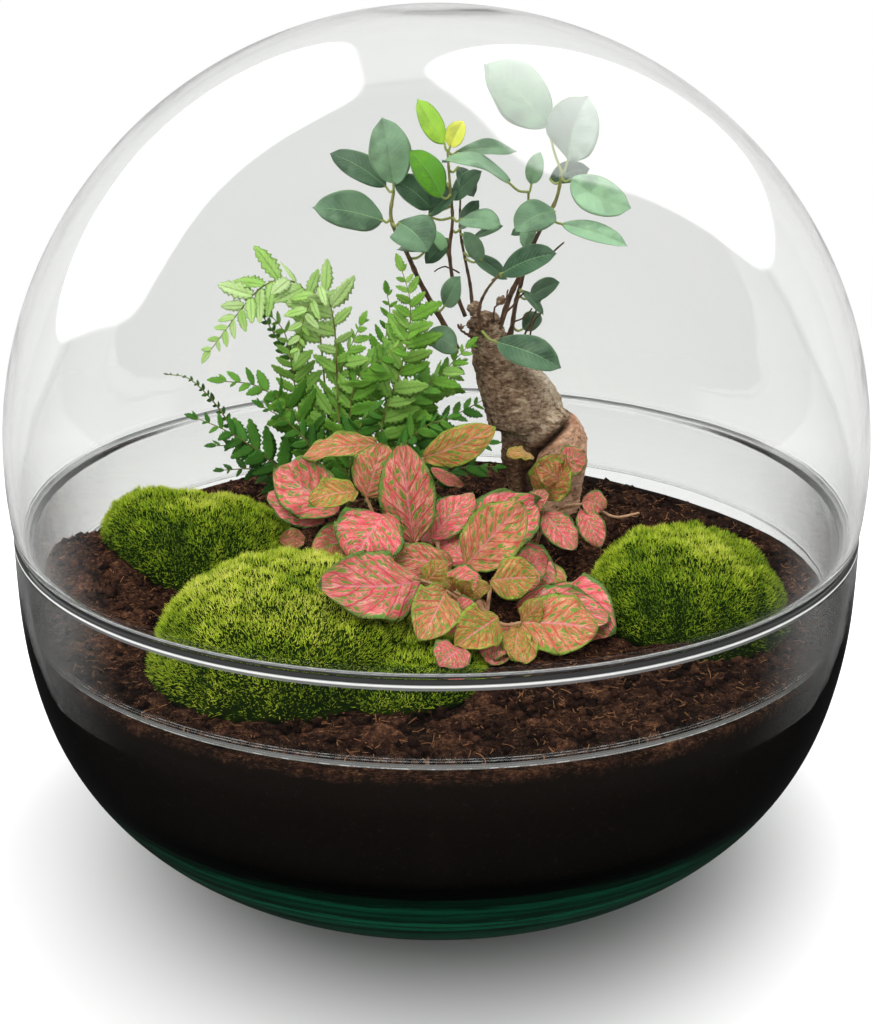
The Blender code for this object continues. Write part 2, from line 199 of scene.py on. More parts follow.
def lathe(outline, turns, wobble=0.0, seed=3):
    # an outline of (radius, height) turned about Z, with a pole at either end
    outline = np.asarray(outline, float)
    rings = outline[1:-1]
    angle = np.linspace(0, 2 * math.pi, turns, endpoint=False)
    r = rings[:, 0][:, None] * np.ones(turns)[None]
    z = rings[:, 1][:, None] * np.ones(turns)[None]
    if wobble:
        wave = sum(np.sin(k * angle[None] + 40 * z * k + seed * k) / k for k in (2, 3, 5))
        r = r + wobble * wave * np.minimum(1, r / 0.06)
    pts = np.stack([r * np.cos(angle), r * np.sin(angle), z], -1).reshape(-1, 3)
    pts = np.vstack([pts, [[0, 0, outline[0, 1]], [0, 0, outline[-1, 1]]]])
    j = np.arange(turns)
    foot, tip = len(pts) - 2, len(pts) - 1
    last = (len(rings) - 1) * turns
    caps = np.vstack([np.stack([np.full(turns, foot), (j + 1) % turns, j], -1),
                      np.stack([np.full(turns, tip), last + j, last + (j + 1) % turns], -1)])
    mark = np.zeros((len(pts), 4))
    return pts, [sheetFaces(len(rings), turns, True), caps], mark


# material tools
class Look:
    def __init__(self, name, world=None):
        self.mat = world or bpy.data.materials.new(name)
        self.mat.use_nodes = True
        self.tree = self.mat.node_tree
        self.tree.nodes.clear()
        self.out = self.add("ShaderNodeOutputWorld" if world else "ShaderNodeOutputMaterial")

    def add(self, kind, inputs=None, **settings):
        node = self.tree.nodes.new(kind)
        for key, value in settings.items():
            setattr(node, key, value)
        for key, value in (inputs or {}).items():
            if isinstance(value, bpy.types.NodeSocket):
                self.tree.links.new(value, node.inputs[key])
            else:
                node.inputs[key].default_value = value
        return node

    def sum(self, kind, a, b=0.0, c=None, clamp=False):
        inputs = {0: a, 1: b}
        if c is not None:
            inputs[2] = c
        return self.add("ShaderNodeMath", inputs, operation=kind, use_clamp=clamp).outputs[0]

    def ramp(self, fac, *stops, smooth=False):
        node = self.add("ShaderNodeValToRGB", {0: fac})
        band = node.color_ramp
        if smooth:
            band.interpolation = "EASE"
        for i, (place, colour) in enumerate(stops):
            spot = band.elements[i] if i < 2 else band.elements.new(place)
            spot.position = place
            spot.color = (*colour, 1) if isinstance(colour, tuple) else (colour, colour, colour, 1)
        return node.outputs[0]

    def mix(self, fac, a, b, kind="MIX"):
        node = self.add("ShaderNodeMix", data_type="RGBA", blend_type=kind)
        for key, value in ((0, fac), (6, a), (7, b)):
            if isinstance(value, bpy.types.NodeSocket):
                self.tree.links.new(value, node.inputs[key])
            else:
                node.inputs[key].default_value = (*value[:3], 1) if isinstance(value, tuple) else value
        return node.outputs[2]

    def place(self, scale=(1, 1, 1)):
        spot = self.add("ShaderNodeTexCoord").outputs["Object"]
        return self.add("ShaderNodeMapping", {"Vector": spot, "Scale": scale}).outputs[0]

    def noise(self, where, scale, detail=4.0, rough=0.55, skew=0.0):
        return self.add("ShaderNodeTexNoise", {"Vector": where, "Scale": scale, "Detail": detail,
                        "Roughness": rough, "Distortion": skew}).outputs["Fac"]

    def cells(self, where, scale, feature="F1"):
        return self.add("ShaderNodeTexVoronoi", {"Vector": where, "Scale": scale},
                        feature=feature).outputs["Distance"]

    def marks(self):
        # along 0..1, across -1..1, tone, under
        spot = self.add("ShaderNodeAttribute", attribute_name="mark", attribute_type="GEOMETRY")
        parts = self.add("ShaderNodeSeparateColor", {0: spot.outputs["Color"]})
        across = self.sum("MULTIPLY_ADD", parts.outputs[1], 2.0, -1.0)
        return parts.outputs[0], across, parts.outputs[2], spot.outputs["Alpha"]

    def spread(self, value, low, high, start=0.0, end=1.0, kind="LINEAR"):
        # value from low to high becomes start to end, and stays inside them
        ends = {"From Min": low, "From Max": high, "To Min": start, "To Max": end}
        return self.add("ShaderNodeMapRange", {"Value": value, **ends}, clamp=True,
                        interpolation_type=kind).outputs[0]

    def bump(self, height, strength, distance):
        return self.add("ShaderNodeBump", {"Height": height, "Strength": strength,
                        "Distance": distance}).outputs[0]

    def finish(self, **inputs):
        shader = self.add("ShaderNodeBsdfPrincipled", {k.replace("_", " "): v for k, v in inputs.items()})
        self.tree.links.new(shader.outputs[0], self.out.inputs[0])
        return self.mat


# the glass
glass = {
    "domeRadius": 0.150, "domeCentre": 0.1557, "domeWall": 0.0026,
    "rim": 0.133, "bowlRadius": 0.1488, "bowlWall": 0.0030, "belly": 0.126,
    "bowlDepth": 0.1278, "squareness": 2.73, "base": 0.010,
    "collarDepth": 0.0295, "collarRadius": 0.1447, "collarWall": 0.0022, "shoulder": 0.0022, "rollIn": 0.0016,
    "bendFrom": 0.1318, "bendTo": 0.1350, "gap": 0.0004, "turns": 224, "wobble": 0.00010,
    "edgeLoop": 0.0003,     # rings this near a corner keep the long smooth faces from bending the view
    "rippleDepth": 0.00028, "ripplePitch": 0.0042, "rippleLevel": 0.008, "rippleSpread": 0.006,
    # edgeTone is the painted shade at the bowl's edges
    "tint": (0.985, 0.99, 0.985), "bend": 1.46, "edgeTone": (0.05, 0.05, 0.05), "greenTo": 0.066,
    "bands": ((0.0, (0.004, 0.060, 0.030)), (0.16, (0.014, 0.300, 0.140)), (0.32, (0.003, 0.040, 0.022)),
              (0.43, (0.016, 0.330, 0.160)), (0.52, (0.005, 0.080, 0.042)), (0.58, (0.016, 0.330, 0.160)),
              (0.66, (0.004, 0.070, 0.036)), (0.73, (0.010, 0.220, 0.110)), (0.84, (0.003, 0.030, 0.018)),
              (1.0, (0.006, 0.012, 0.009))),
    "pontilRadius": 0.020, "pontilDepth": 0.0001, "pontilFade": 0.0025,
    "lineTones": {"black": (0.005, 0.005, 0.005), "paintedDark": (0.010, 0.009, 0.008), "white": (0.97, 0.98, 0.97),
                  "grey": (0.80, 0.81, 0.80)},
    # painted highlights and painted shade in the glass, as bright and dark lines: from and to in metres,
    # tone, strength, speckled share, and the share that is left on the far side
    "rimLines": ((0.1304, 0.1311, "black", 0.70, 0.0, 0.1), (0.1312, 0.1319, "white", 0.97, 0.0, 0.3),
                 (0.1320, 0.1333, "black", 0.97, 0.0, 0.1)),
    "seatLines": ((0.1334, 0.1337, "black", 0.80, 0.0, 0.9), (0.1337, 0.1345, "black", 0.88, 0.1, 0.0),
                  (0.1346, 0.1349, "white", 0.80, 0.3, 0.0)),
    "footLines": ((0.1033, 0.1039, "paintedDark", 0.92, 0.0, 0.9), (0.1040, 0.1043, "white", 0.95, 0.80, 0.2),
                  (0.1044, 0.1049, "paintedDark", 0.80, 0.0, 0.1), (0.1064, 0.1067, "grey", 0.35, 0.6, 0.1)),
    "lineEdge": 0.0001, "farSide": (0.02, 0.07),     # y where the lines start and end fading
}


def bowlOuter(z):
    g = glass
    share = np.clip((g["belly"] - z) / g["bowlDepth"], 0, 1)
    return g["bowlRadius"] * (1 - share ** g["squareness"]) ** (1 / g["squareness"])


def bowlInner(z):
    g = glass
    share = np.clip((g["belly"] - z) / (g["belly"] - g["base"]), 0, 1)
    return (g["bowlRadius"] - g["bowlWall"]) * (1 - share ** g["squareness"]) ** (1 / g["squareness"])


def fallingLevels(top, bottom, count, crowding=1.9):
    i = np.arange(count + 1) / count
    return top + (bottom - top) * (1 - (1 - i) ** crowding)


def glassLook(name, tint, bend, lines, low=False):
    look = Look(name)
    spot = look.add("ShaderNodeTexCoord").outputs["Object"]
    where = look.add("ShaderNodeSeparateXYZ", {0: spot}).outputs
    height = where[2]
    away = look.spread(where[1], *glass["farSide"])
    matt = 0.0
    colour, through = (*tint, 1), 1.0
    if low:     # the thick base is emerald, in bands, and the edges of the bowl look dark
        # the dark edges of the bowl are painted shade
        facing = look.add("ShaderNodeLayerWeight", {"Blend": 0.5}).outputs["Facing"]
        colour = look.mix(look.ramp(facing, (0.36, 0.0), (0.78, 1.0), smooth=True), tint, glass["edgeTone"])
        share = look.spread(height, 0.0, glass["greenTo"])
        streak = look.noise(look.place((6, 6, 90)), 6.0, 3.0, 0.6)
        moved = look.sum("MULTIPLY_ADD", streak, 0.10, look.sum("SUBTRACT", share, 0.05))
        through = look.ramp(moved, (0.60, 0.0), (0.90, 1.0), smooth=True)
        drawn = look.sum("MULTIPLY_ADD", look.sum("SINE", look.sum("MULTIPLY", moved, 95.0)), 0.42, 0.80)
        green = look.mix(1.0, look.ramp(moved, *glass["bands"]), drawn, "MULTIPLY")
        colour = look.mix(look.ramp(moved, (0.89, 0.0), (0.96, 1.0)), green, colour)
    specks = look.ramp(look.noise(look.place((1, 1, 2)), 210.0, 3.0, 0.7), (0.49, 0.0), (0.55, 1.0))
    # painted highlights and painted shade: each line takes over the glass's colour and lets less light
    # through
    for bottom, top, tone, strength, speckled, left in lines:
        soft = glass["lineEdge"]
        start = look.spread(height, bottom - soft, bottom + soft)
        end = look.spread(height, top - soft, top + soft, 1.0, 0.0)
        line = look.sum("MULTIPLY", look.sum("MULTIPLY", start, end), strength)
        line = look.sum("MULTIPLY", line, look.sum("MULTIPLY_ADD", away, left - 1.0, 1.0))
        line = look.sum("MULTIPLY", line, look.sum("MULTIPLY_ADD", specks, speckled, 1 - speckled))
        colour = look.mix(line, colour, glass["lineTones"][tone])
        through = look.sum("MULTIPLY", through, look.sum("SUBTRACT", 1.0, line))
        matt = look.sum("MAXIMUM", matt, line)
    wave = look.noise(look.place((1, 1, 1.6)), 26.0, 2.0, 0.4)
    clear = look.add("ShaderNodeBsdfPrincipled", {
        "Base Color": colour, "Roughness": 0.0, "IOR": bend, "Transmission Weight": through,
        "Specular IOR Level": look.sum("MULTIPLY_ADD", matt, -0.48, 0.5),
        "Normal": look.bump(wave, 0.05, 0.002)})
    passing = look.add("ShaderNodeBsdfTransparent", {"Color": (*tint, 1)})
    path = look.add("ShaderNodeLightPath")
    shader = look.add("ShaderNodeMixShader", {0: path.outputs["Is Shadow Ray"], 1: clear.outputs[0],
                                              2: passing.outputs[0]})
    look.tree.links.new(shader.outputs[0], look.out.inputs[0])
    return look.mat


def makeBowl():
    g = glass
    lip = g["bowlWall"] / 2
    outline = [(0, 0)]
    levels = fallingLevels(g["belly"], 0.0, 64)[::-1]
    ripple = g["rippleDepth"] * np.sin(levels * 2 * math.pi / g["ripplePitch"])
    ripple = ripple * np.exp(-((levels - g["rippleLevel"]) / g["rippleSpread"]) ** 2)
    outline += list(zip(bowlOuter(levels) + ripple, levels))
    straightFrom, straightTo = g["belly"] + 0.0010, g["rim"] - lip - g["edgeLoop"]
    outline += [(g["bowlRadius"], straightFrom), (g["bowlRadius"], straightTo)]
    for a in np.linspace(0, math.pi, 12):
        outline.append((g["bowlRadius"] - lip + lip * math.cos(a), g["rim"] - lip + lip * math.sin(a)))
    within = g["bowlRadius"] - g["bowlWall"]
    outline += [(within, straightTo), (within, straightFrom)]
    levels = fallingLevels(g["belly"], g["base"], 64)[:-1]
    outline += list(zip(bowlInner(levels), levels))
    outline.append((0, g["base"]))
    look = glassLook("green base glass", g["tint"], g["bend"], g["rimLines"], True)
    part = lathe(outline, g["turns"], g["wobble"])
    settle(addMesh("terrarium_bowl", [part], look), "green_glass", "glass_bowl")


def makeDome():
    g = glass
    seat = g["rim"] + g["gap"]
    inner = g["domeRadius"] - g["domeWall"]
    collarIn = g["collarRadius"] - g["collarWall"]
    foot = g["rim"] - g["collarDepth"]
    lowOuter = math.asin((seat + g["shoulder"] - g["domeCentre"]) / g["domeRadius"])
    outline = [(0, g["domeCentre"] + g["domeRadius"])]
    for a in np.linspace(math.pi / 2, lowOuter, 72)[1:]:
        outline.append((g["domeRadius"] * math.cos(a), g["domeCentre"] + g["domeRadius"] * math.sin(a)))
    edge = outline[-1]
    for share in (0.3, 0.65, 0.9):     # the shoulder rolls under to its seat
        a = share * math.pi / 2
        outline.append((edge[0] - g["rollIn"] * (1 - math.cos(a)), edge[1] - (edge[1] - seat) * math.sin(a)))
    outline.append((g["bowlRadius"] - g["bowlWall"], seat))
    outline.append((g["collarRadius"] + 0.0005, seat + 0.0001))
    outline.append((g["collarRadius"], seat - 0.0005))
    for z in [seat - 0.0008, *np.linspace(seat - 0.002, foot + g["collarWall"], 8)]:
        outline.append((g["collarRadius"] - 0.0001, z))
    half = g["collarWall"] / 2
    middle = g["collarRadius"] - half - 0.0001
    for a in np.linspace(0, math.pi, 9)[1:-1]:
        outline.append((middle + half * math.cos(a), foot + half - half * math.sin(a)))
    straight = np.linspace(foot + g["collarWall"], g["bendFrom"], 8)
    for z in sorted([*straight, straight[0] + g["edgeLoop"], straight[-1] - g["edgeLoop"]]):
        outline.append((collarIn - 0.0002, z))
    lowInner = math.asin((g["domeCentre"] - g["bendTo"]) / inner)
    for share in np.linspace(0, 1, 9)[1:-1]:     # the collar swings out to meet the dome
        reach = collarIn + (inner * math.cos(lowInner) - collarIn) * share**2 * (3 - 2 * share)
        outline.append((reach, g["bendFrom"] + (g["bendTo"] - g["bendFrom"]) * share))
    for a in np.linspace(-lowInner, math.pi / 2, 72)[:-1]:
        r = inner * math.cos(a)
        thicker = g["pontilDepth"] / (1 + math.exp((r - g["pontilRadius"]) / g["pontilFade"]))
        outline.append((r, g["domeCentre"] + inner * math.sin(a) - thicker))
    outline.append((0, g["domeCentre"] + inner - g["pontilDepth"]))
    look = glassLook("clear glass", g["tint"], g["bend"], g["seatLines"] + g["footLines"])
    part = lathe(outline[::-1], g["turns"], g["wobble"], 5)
    settle(addMesh("terrarium_dome", [part], look), "clear_glass", "glass_dome")


# the soil
ground = {
    "level": 101, "sideTop": 93, "edge": 0.1413, "pressedIn": 0.0003, "wallReach": 0.1411,
    "mounds": ((-126, -8, 17, 26), (0, 20, 9, 60), (46, 64, 5, 26), (90, 95, -4, 50)),
    "clods": 0.0030, "clodSize": 0.010, "grain": 0.0016, "grainSize": 0.0034,
    "dark": (0.0065, 0.0035, 0.0027), "mid": (0.024, 0.0105, 0.0070), "brown": (0.078, 0.033, 0.019),
    "light": (0.27, 0.125, 0.068), "fibre": (0.36, 0.165, 0.072),
    # the pressed colours: soil damp and pressed against the glass below the surface, also darkened with
    # painted shade
    "pressedShaded": (0.0120, 0.0092, 0.0076), "pressedShadedSpeck": (0.045, 0.029, 0.020),
    "crumbs": 9000, "crumbSize": (0.0004, 0.0020), "fibres": 3600, "fibreLength": (0.0012, 0.0046),
}


def soilHeight(x, y):
    # metres in, metres out
    z = np.full(np.shape(x), ground["level"] * mm)
    for mx, my, rise, spread in ground["mounds"]:
        z = z + rise * mm * np.exp(-((x / mm - mx) ** 2 + (y / mm - my) ** 2) / (2 * spread**2))
    return z


def roughness(points, size, octaves=4):
    return np.array([noise.fractal(Vector(p) / size, 1.0, 2.1, octaves) for p in points])


def soilLook():
    look = Look("damp peat")
    where = look.place()
    fine = look.noise(where, 560.0, 5.0, 0.8)
    strands = look.noise(look.place((1, 2.6, 4)), 330.0, 4.0, 0.7, 1.4)
    coarse = look.noise(where, 70.0, 4.0, 0.6)
    blend = look.sum("MULTIPLY_ADD", coarse, 0.42, look.sum("MULTIPLY", fine, 0.62))
    colour = look.ramp(blend, (0.38, ground["dark"]), (0.49, ground["mid"]), (0.58, ground["brown"]),
                       (0.70, ground["light"]))
    spots = look.ramp(strands, (0.57, 0.0), (0.64, 1.0))
    colour = look.mix(look.sum("MULTIPLY", spots, 0.80), colour, ground["fibre"])
    spot = look.add("ShaderNodeTexCoord").outputs["Object"]
    height = look.add("ShaderNodeSeparateXYZ", {0: spot}).outputs[2]
    # below the surface the soil against the glass is damp and pressed, and darker with painted shade
    low = look.spread(look.sum("MULTIPLY_ADD", coarse, 0.006, height), 0.1005, 0.1070)
    speck = look.ramp(fine, (0.58, 0.0), (0.72, 1.0))
    pressedShaded = look.mix(look.sum("MULTIPLY", speck, 0.55), ground["pressedShaded"], ground["pressedShadedSpeck"])
    colour = look.mix(low, pressedShaded, colour)
    return look.finish(Base_Color=colour, Roughness=0.95, Specular_IOR_Level=0.02,
                       Normal=look.bump(blend, 1.0, 0.0022))


def makeSoil(look):
    g = ground
    turns = 400
    rings = []
    angle = np.linspace(0, 2 * math.pi, turns, endpoint=False)
    c, s = np.cos(angle), np.sin(angle)
    lowest = glass["base"] - 0.0004     # pressed against the glass
    for z in fallingLevels(glass["belly"], glass["base"], 44)[::-1][1:]:
        if z < g["sideTop"] * mm:
            r = bowlInner(z) + g["pressedIn"]
            rings.append(np.stack([r * c, r * s, np.full(turns, z - 0.0004)], -1))
    lip = glass["rim"] - glass["collarDepth"] - 0.0008
    for r in (bowlInner(g["level"] * mm) - 0.0016, g["edge"] + 0.0006):
        top = np.minimum(soilHeight(r * c, r * s), lip)
        rings.append(np.stack([r * c, r * s, top], -1))
    side = len(rings)
    for share in np.linspace(1, 0.015, 140):
        r = g["edge"] * share
        rings.append(np.stack([r * c, r * s, soilHeight(r * c, r * s)], -1))
    pts = np.array(rings).reshape(-1, 3)
    heap = np.arange(len(rings)).repeat(turns) >= side
    clods = roughness(pts[heap], g["clodSize"], 3) * g["clods"]
    clods = clods + roughness(pts[heap], g["grainSize"], 2) * g["grain"]
    reach = np.hypot(pts[heap, 0], pts[heap, 1])
    pts[heap, 2] += clods * np.clip((0.1425 - reach) / 0.003, 0.15, 1)
    middle = float(soilHeight(0.0, 0.0))
    pts = np.vstack([pts, [[0, 0, lowest], [0, 0, middle]]])
    j = np.arange(turns)
    foot, tip = len(pts) - 2, len(pts) - 1
    last = (len(rings) - 1) * turns
    caps = np.vstack([np.stack([np.full(turns, foot), (j + 1) % turns, j], -1),
                      np.stack([np.full(turns, tip), last + j, last + (j + 1) % turns], -1)])
    part = (pts, [sheetFaces(len(rings), turns, True), caps], np.zeros((len(pts), 4)))
    settle(addMesh("peat_bed", [part], look), "potting_soil", "potting_soil")


def chunk(rng, place, size, flat=0.7):
    # a small faceted crumb: an irregular octahedron
    pts = np.array([(1, 0, 0), (0, 1, 0), (-1, 0, 0), (0, -1, 0), (0, 0, 1), (0, 0, -1)], float)
    pts = pts * rng.uniform(0.6, 1.25, (6, 3)) + rng.normal(0, 0.12, (6, 3))
    spin = rng.uniform(0, 2 * math.pi)
    c, s = math.cos(spin), math.sin(spin)
    turn = np.array([[c, -s, 0], [s, c, 0], [0, 0, flat]])
    return pts @ turn * size + place


def onSoil(rng, count, reach=0.140):
    r = reach * np.sqrt(rng.uniform(0, 1, count))
    a = rng.uniform(0, 2 * math.pi, count)
    x, y = r * np.cos(a), r * np.sin(a)
    return np.stack([x, y, soilHeight(x, y)], -1)


def makeCrumbs():
    g = ground
    rng = np.random.default_rng(11)
    faces = np.array([(0, 1, 4), (1, 2, 4), (2, 3, 4), (3, 0, 4),
                      (1, 0, 5), (2, 1, 5), (3, 2, 5), (0, 3, 5)])
    count = g["crumbs"] // 1
    spots = onSoil(rng, count)
    least, more = g["crumbSize"]
    sizes = rng.uniform(0.3, 1.0, count) ** 3 * more + least
    pts = np.vstack([chunk(rng, p + [0, 0, s * 0.35], s) for p, s in zip(spots, sizes)])
    near = np.hypot(pts[:, 0], pts[:, 1])
    pts[:, :2] *= np.minimum(1, g["wallReach"] / near)[:, None]
    allFaces = (faces[None] + 6 * np.arange(count)[:, None, None]).reshape(-1, 3)
    mark = np.zeros((len(pts), 4))
    mark[:, 2] = np.repeat(rng.uniform(0, 1, count), 6)
    crumbs = (pts, [allFaces], mark)

    count = g["fibres"] // 1     # short root fibres lying on the soil
    spots = onSoil(rng, count, 0.1375)
    parts = [crumbs]
    ways = unit(rng.normal(0, 1, (count, 3)) * [1, 1, 0.35])
    lengths = rng.uniform(*g["fibreLength"], count)
    bows = rng.normal(0, 0.3, (count, 3))
    for p, w, size, bow in zip(spots, ways, lengths, bows):
        t = np.linspace(-0.5, 0.5, 4)[:, None]
        path = p + [0, 0, 0.0006] + w * size * t + bow * size * (0.25 - t**2)
        path[:, 2] = np.maximum(path[:, 2], soilHeight(path[:, 0], path[:, 1]) + 0.0002)
        thick = rng.uniform(0.00009, 0.00020)
        parts.append(tube(path, thick, 3, tone=2.0 if rng.random() < 0.6 else 0.9))
    look = Look("peat crumbs")
    _, _, tone, _ = look.marks()
    where = look.place()
    fine = look.noise(where, 600.0, 4.0, 0.7)
    shade = look.sum("MULTIPLY_ADD", fine, 0.5, look.sum("MULTIPLY", tone, 0.4))
    colour = look.ramp(shade, (0.25, ground["dark"]), (0.48, ground["mid"]), (0.64, ground["brown"]),
                       (0.95, ground["fibre"]))
    mat = look.finish(Base_Color=colour, Roughness=0.9, Specular_IOR_Level=0.03,
                      Normal=look.bump(fine, 0.7, 0.0006))
    settle(addMesh("peat_crumbs", parts, mat, smooth=False), "potting_soil")


# the moss cushions
moss = {
    # lobes of each cushion in millimetres: centre, half widths, rise
    "cushions": {
        "moss_back_left": ((-87, 6, 36, 32, 24),),
        "moss_front_left": ((-50, -69, 43, 42, 31), (-12, -82, 28, 24, 11)),
        "moss_right": ((88, -30, 35, 38, 27),),
    },
    "warmth": {"moss_back_left": 0.02, "moss_front_left": 0.14, "moss_right": 0.0},
    "perSquareMm": 7.4, "bladeLength": (0.0017, 0.0037), "bladeWidth": 0.00056, "crown": 0.55,
    "clumpSize": 0.0065, "clumpDepth": 0.0014, "wallReach": 0.1409,
    # hollow is painted shade on the mound under the shoots and in the hollows
    "deep": (0.012, 0.034, 0.002), "green": (0.150, 0.280, 0.008), "lime": (0.50, 0.62, 0.028),
    "tip": (0.84, 0.84, 0.16), "hollow": (0.006, 0.014, 0.001),
}


def mossRise(lobes, x, y):
    best = np.full(np.shape(x), -1.0)
    for lx, ly, hx, hy, rise in lobes:
        away = ((x / mm - lx) / hx) ** 2 + ((y / mm - ly) / hy) ** 2
        inside = rise * mm * np.clip(1 - np.clip(away, 0, 1) ** 1.25, 0, 1) ** 0.55
        best = np.where(away < 1, np.maximum(best, inside), best)
    return best


def mossSurface(lobes, x, y, seed):
    # height with soft clumps, and how deep in a hollow each point is
    flat = np.stack([x.ravel(), y.ravel(), np.full(x.size, seed * 0.1)], -1)
    lumps = np.array([noise.voronoi(Vector(p) / moss["clumpSize"])[0][0] for p in flat]).reshape(x.shape)
    soft = roughness(flat, 0.022, 3).reshape(x.shape)
    rise = mossRise(lobes, x, y)
    top = soilHeight(x, y) + 0.0012 + np.maximum(rise, 0.0)
    hollow = np.clip(lumps * 1.3, 0, 1)
    return top - hollow * moss["clumpDepth"] * 1.5 + soft * 0.0014, hollow, rise


def mossLook():
    look = Look("cushion moss")
    along, _, tone, under = look.marks()
    where = look.place()
    patch = look.noise(where, 38.0, 3.0, 0.6)
    fine = look.noise(where, 420.0, 3.0, 0.6)
    shade = look.sum("MULTIPLY_ADD", along, 0.42, look.sum("MULTIPLY", tone, 0.34))
    shade = look.sum("MULTIPLY_ADD", patch, 0.95, look.sum("SUBTRACT", shade, 0.40))
    shade = look.sum("MULTIPLY_ADD", fine, 0.18, shade)
    colour = look.ramp(shade, (0.16, moss["deep"]), (0.42, moss["green"]), (0.68, moss["lime"]),
                       (0.92, moss["tip"]))
    # painted shade: the mound under the shoots, and the shoots deep in hollows, turn dark
    colour = look.mix(look.sum("MULTIPLY", under, 0.85, clamp=True), colour, moss["hollow"])
    return look.finish(Base_Color=colour, Roughness=0.7, Specular_IOR_Level=0.05)


def makeMoss(name, lobes, look, seed):
    rng = np.random.default_rng(seed)
    size = 120
    lx = [l[0] - l[2] for l in lobes] + [l[0] + l[2] for l in lobes]
    ly = [l[1] - l[3] for l in lobes] + [l[1] + l[3] for l in lobes]
    cx, cy = lobes[0][0] * mm, lobes[0][1] * mm
    turns = size * 2
    angle = np.linspace(0, 2 * math.pi, turns, endpoint=False)
    steps = np.linspace(0, 0.09, 900)
    reach = np.zeros(turns)
    for k, a in enumerate(angle):
        ok = mossRise(lobes, cx + steps * math.cos(a), cy + steps * math.sin(a)) > 0
        reach[k] = steps[ok].max()
    share = np.sin(math.pi / 2 * np.linspace(0.01, 1, size // 2))
    x = cx + share[:, None] * reach[None] * np.cos(angle)[None]
    y = cy + share[:, None] * reach[None] * np.sin(angle)[None]
    z, hollow, rise = mossSurface(lobes, x, y, seed)
    z[-1] = soilHeight(x[-1], y[-1]) - 0.0004
    top = np.stack([x, y, z], -1).reshape(-1, 3)
    underside = np.array([[cx, cy, float(soilHeight(cx, cy)) + 0.0004]])
    head = np.array([[cx, cy, z[0].mean()]])
    pts = np.vstack([top, head, underside])
    j = np.arange(turns)
    rows = size // 2
    tip, foot = rows * turns, rows * turns + 1
    last = (rows - 1) * turns
    caps = np.vstack([np.stack([np.full(turns, tip), j, (j + 1) % turns], -1),
                      np.stack([np.full(turns, foot), last + (j + 1) % turns, last + j], -1)])
    mark = np.zeros((len(pts), 4))
    # the mound under the shoots takes the full painted shade
    mark[:, 3] = 1
    mound = (pts, [sheetFaces(rows, turns, True)[:, ::-1], caps], mark)

    # the leafy shoots: three-sided spikes over the whole mound
    area = math.pi * lobes[0][2] * lobes[0][3] * 1.35
    count = int(area * moss["perSquareMm"] / (1))
    bx = rng.uniform(min(lx), max(lx), count * 3) * mm
    by = rng.uniform(min(ly), max(ly), count * 3) * mm
    keep = mossRise(lobes, bx, by) > 0.0002
    bx, by = bx[keep][:count], by[keep][:count]
    # more of them where the mound is steep
    h = 0.0012
    slopeX = (mossRise(lobes, bx + h, by) - mossRise(lobes, bx - h, by)) / (2 * h)
    slopeY = (mossRise(lobes, bx, by + h) - mossRise(lobes, bx, by - h)) / (2 * h)
    slopeX, slopeY = np.clip(slopeX, -4, 4), np.clip(slopeY, -4, 4)
    steep = np.sqrt(1 + slopeX**2 + slopeY**2)
    chosen = rng.uniform(0, 4.0, len(bx)) < steep * 1.45
    bx, by, slopeX, slopeY = bx[chosen], by[chosen], slopeX[chosen], slopeY[chosen]
    bz, hollow, rise = mossSurface(lobes, bx, by, seed)
    crown = moss["crown"] * ((rise / rise.max()) ** 3 - 0.35)
    normal = unit(np.stack([-slopeX, -slopeY, np.ones_like(bx)], -1))
    n = len(bx)
    lean = rng.normal(0, 0.42, (n, 3)) + [0, 0, 0.45]
    way = unit(normal + lean)
    length = rng.uniform(*moss["bladeLength"], n) * (1 - 0.35 * hollow)
    foot = np.stack([bx, by, bz], -1) - normal * 0.0006
    side = unit(np.cross(way, rng.normal(0, 1, (n, 3))))
    other = np.cross(way, side)
    w = moss["bladeWidth"] * rng.uniform(0.6, 1.3, n)[:, None]
    tips = foot + way * length[:, None] + side * length[:, None] * rng.normal(0, 0.16, (n, 1))
    a = foot + side * w * 0.5
    b = foot - side * w * 0.25 + other * w * 0.43
    c = foot - side * w * 0.25 - other * w * 0.43
    spikes = np.stack([a, b, c, tips], 1).reshape(-1, 3)
    spikes[:, 2] = np.maximum(spikes[:, 2], soilHeight(spikes[:, 0], spikes[:, 1]) + 0.0001)
    near = np.hypot(spikes[:, 0], spikes[:, 1])
    spikes[:, :2] *= np.minimum(1, moss["wallReach"] / near)[:, None]
    k = 4 * np.arange(n)[:, None]
    tri = np.concatenate([k + [0, 1, 3], k + [1, 2, 3], k + [2, 0, 3]])
    mark = np.zeros((n * 4, 4))
    mark[:, 0] = np.tile([0, 0, 0, 1], n)
    # tone is random, warmer on some cushions, lighter on the crown, and darker deep in hollows with painted
    # shade; the under mark paints shade in hollows, less at the tips
    mark[:, 2] = np.repeat(rng.uniform(-0.1, 1.1, n) + moss["warmth"][name] * 2 + crown - 0.5 * hollow, 4)
    mark[:, 3] = np.repeat(hollow * 0.5, 4) * np.tile([1, 1, 1, 0.4], n)
    obj = addMesh(name.replace("moss", "moss_cushion"), [mound, (spikes, [tri], mark)], look)
    settle(obj, "moss", name)


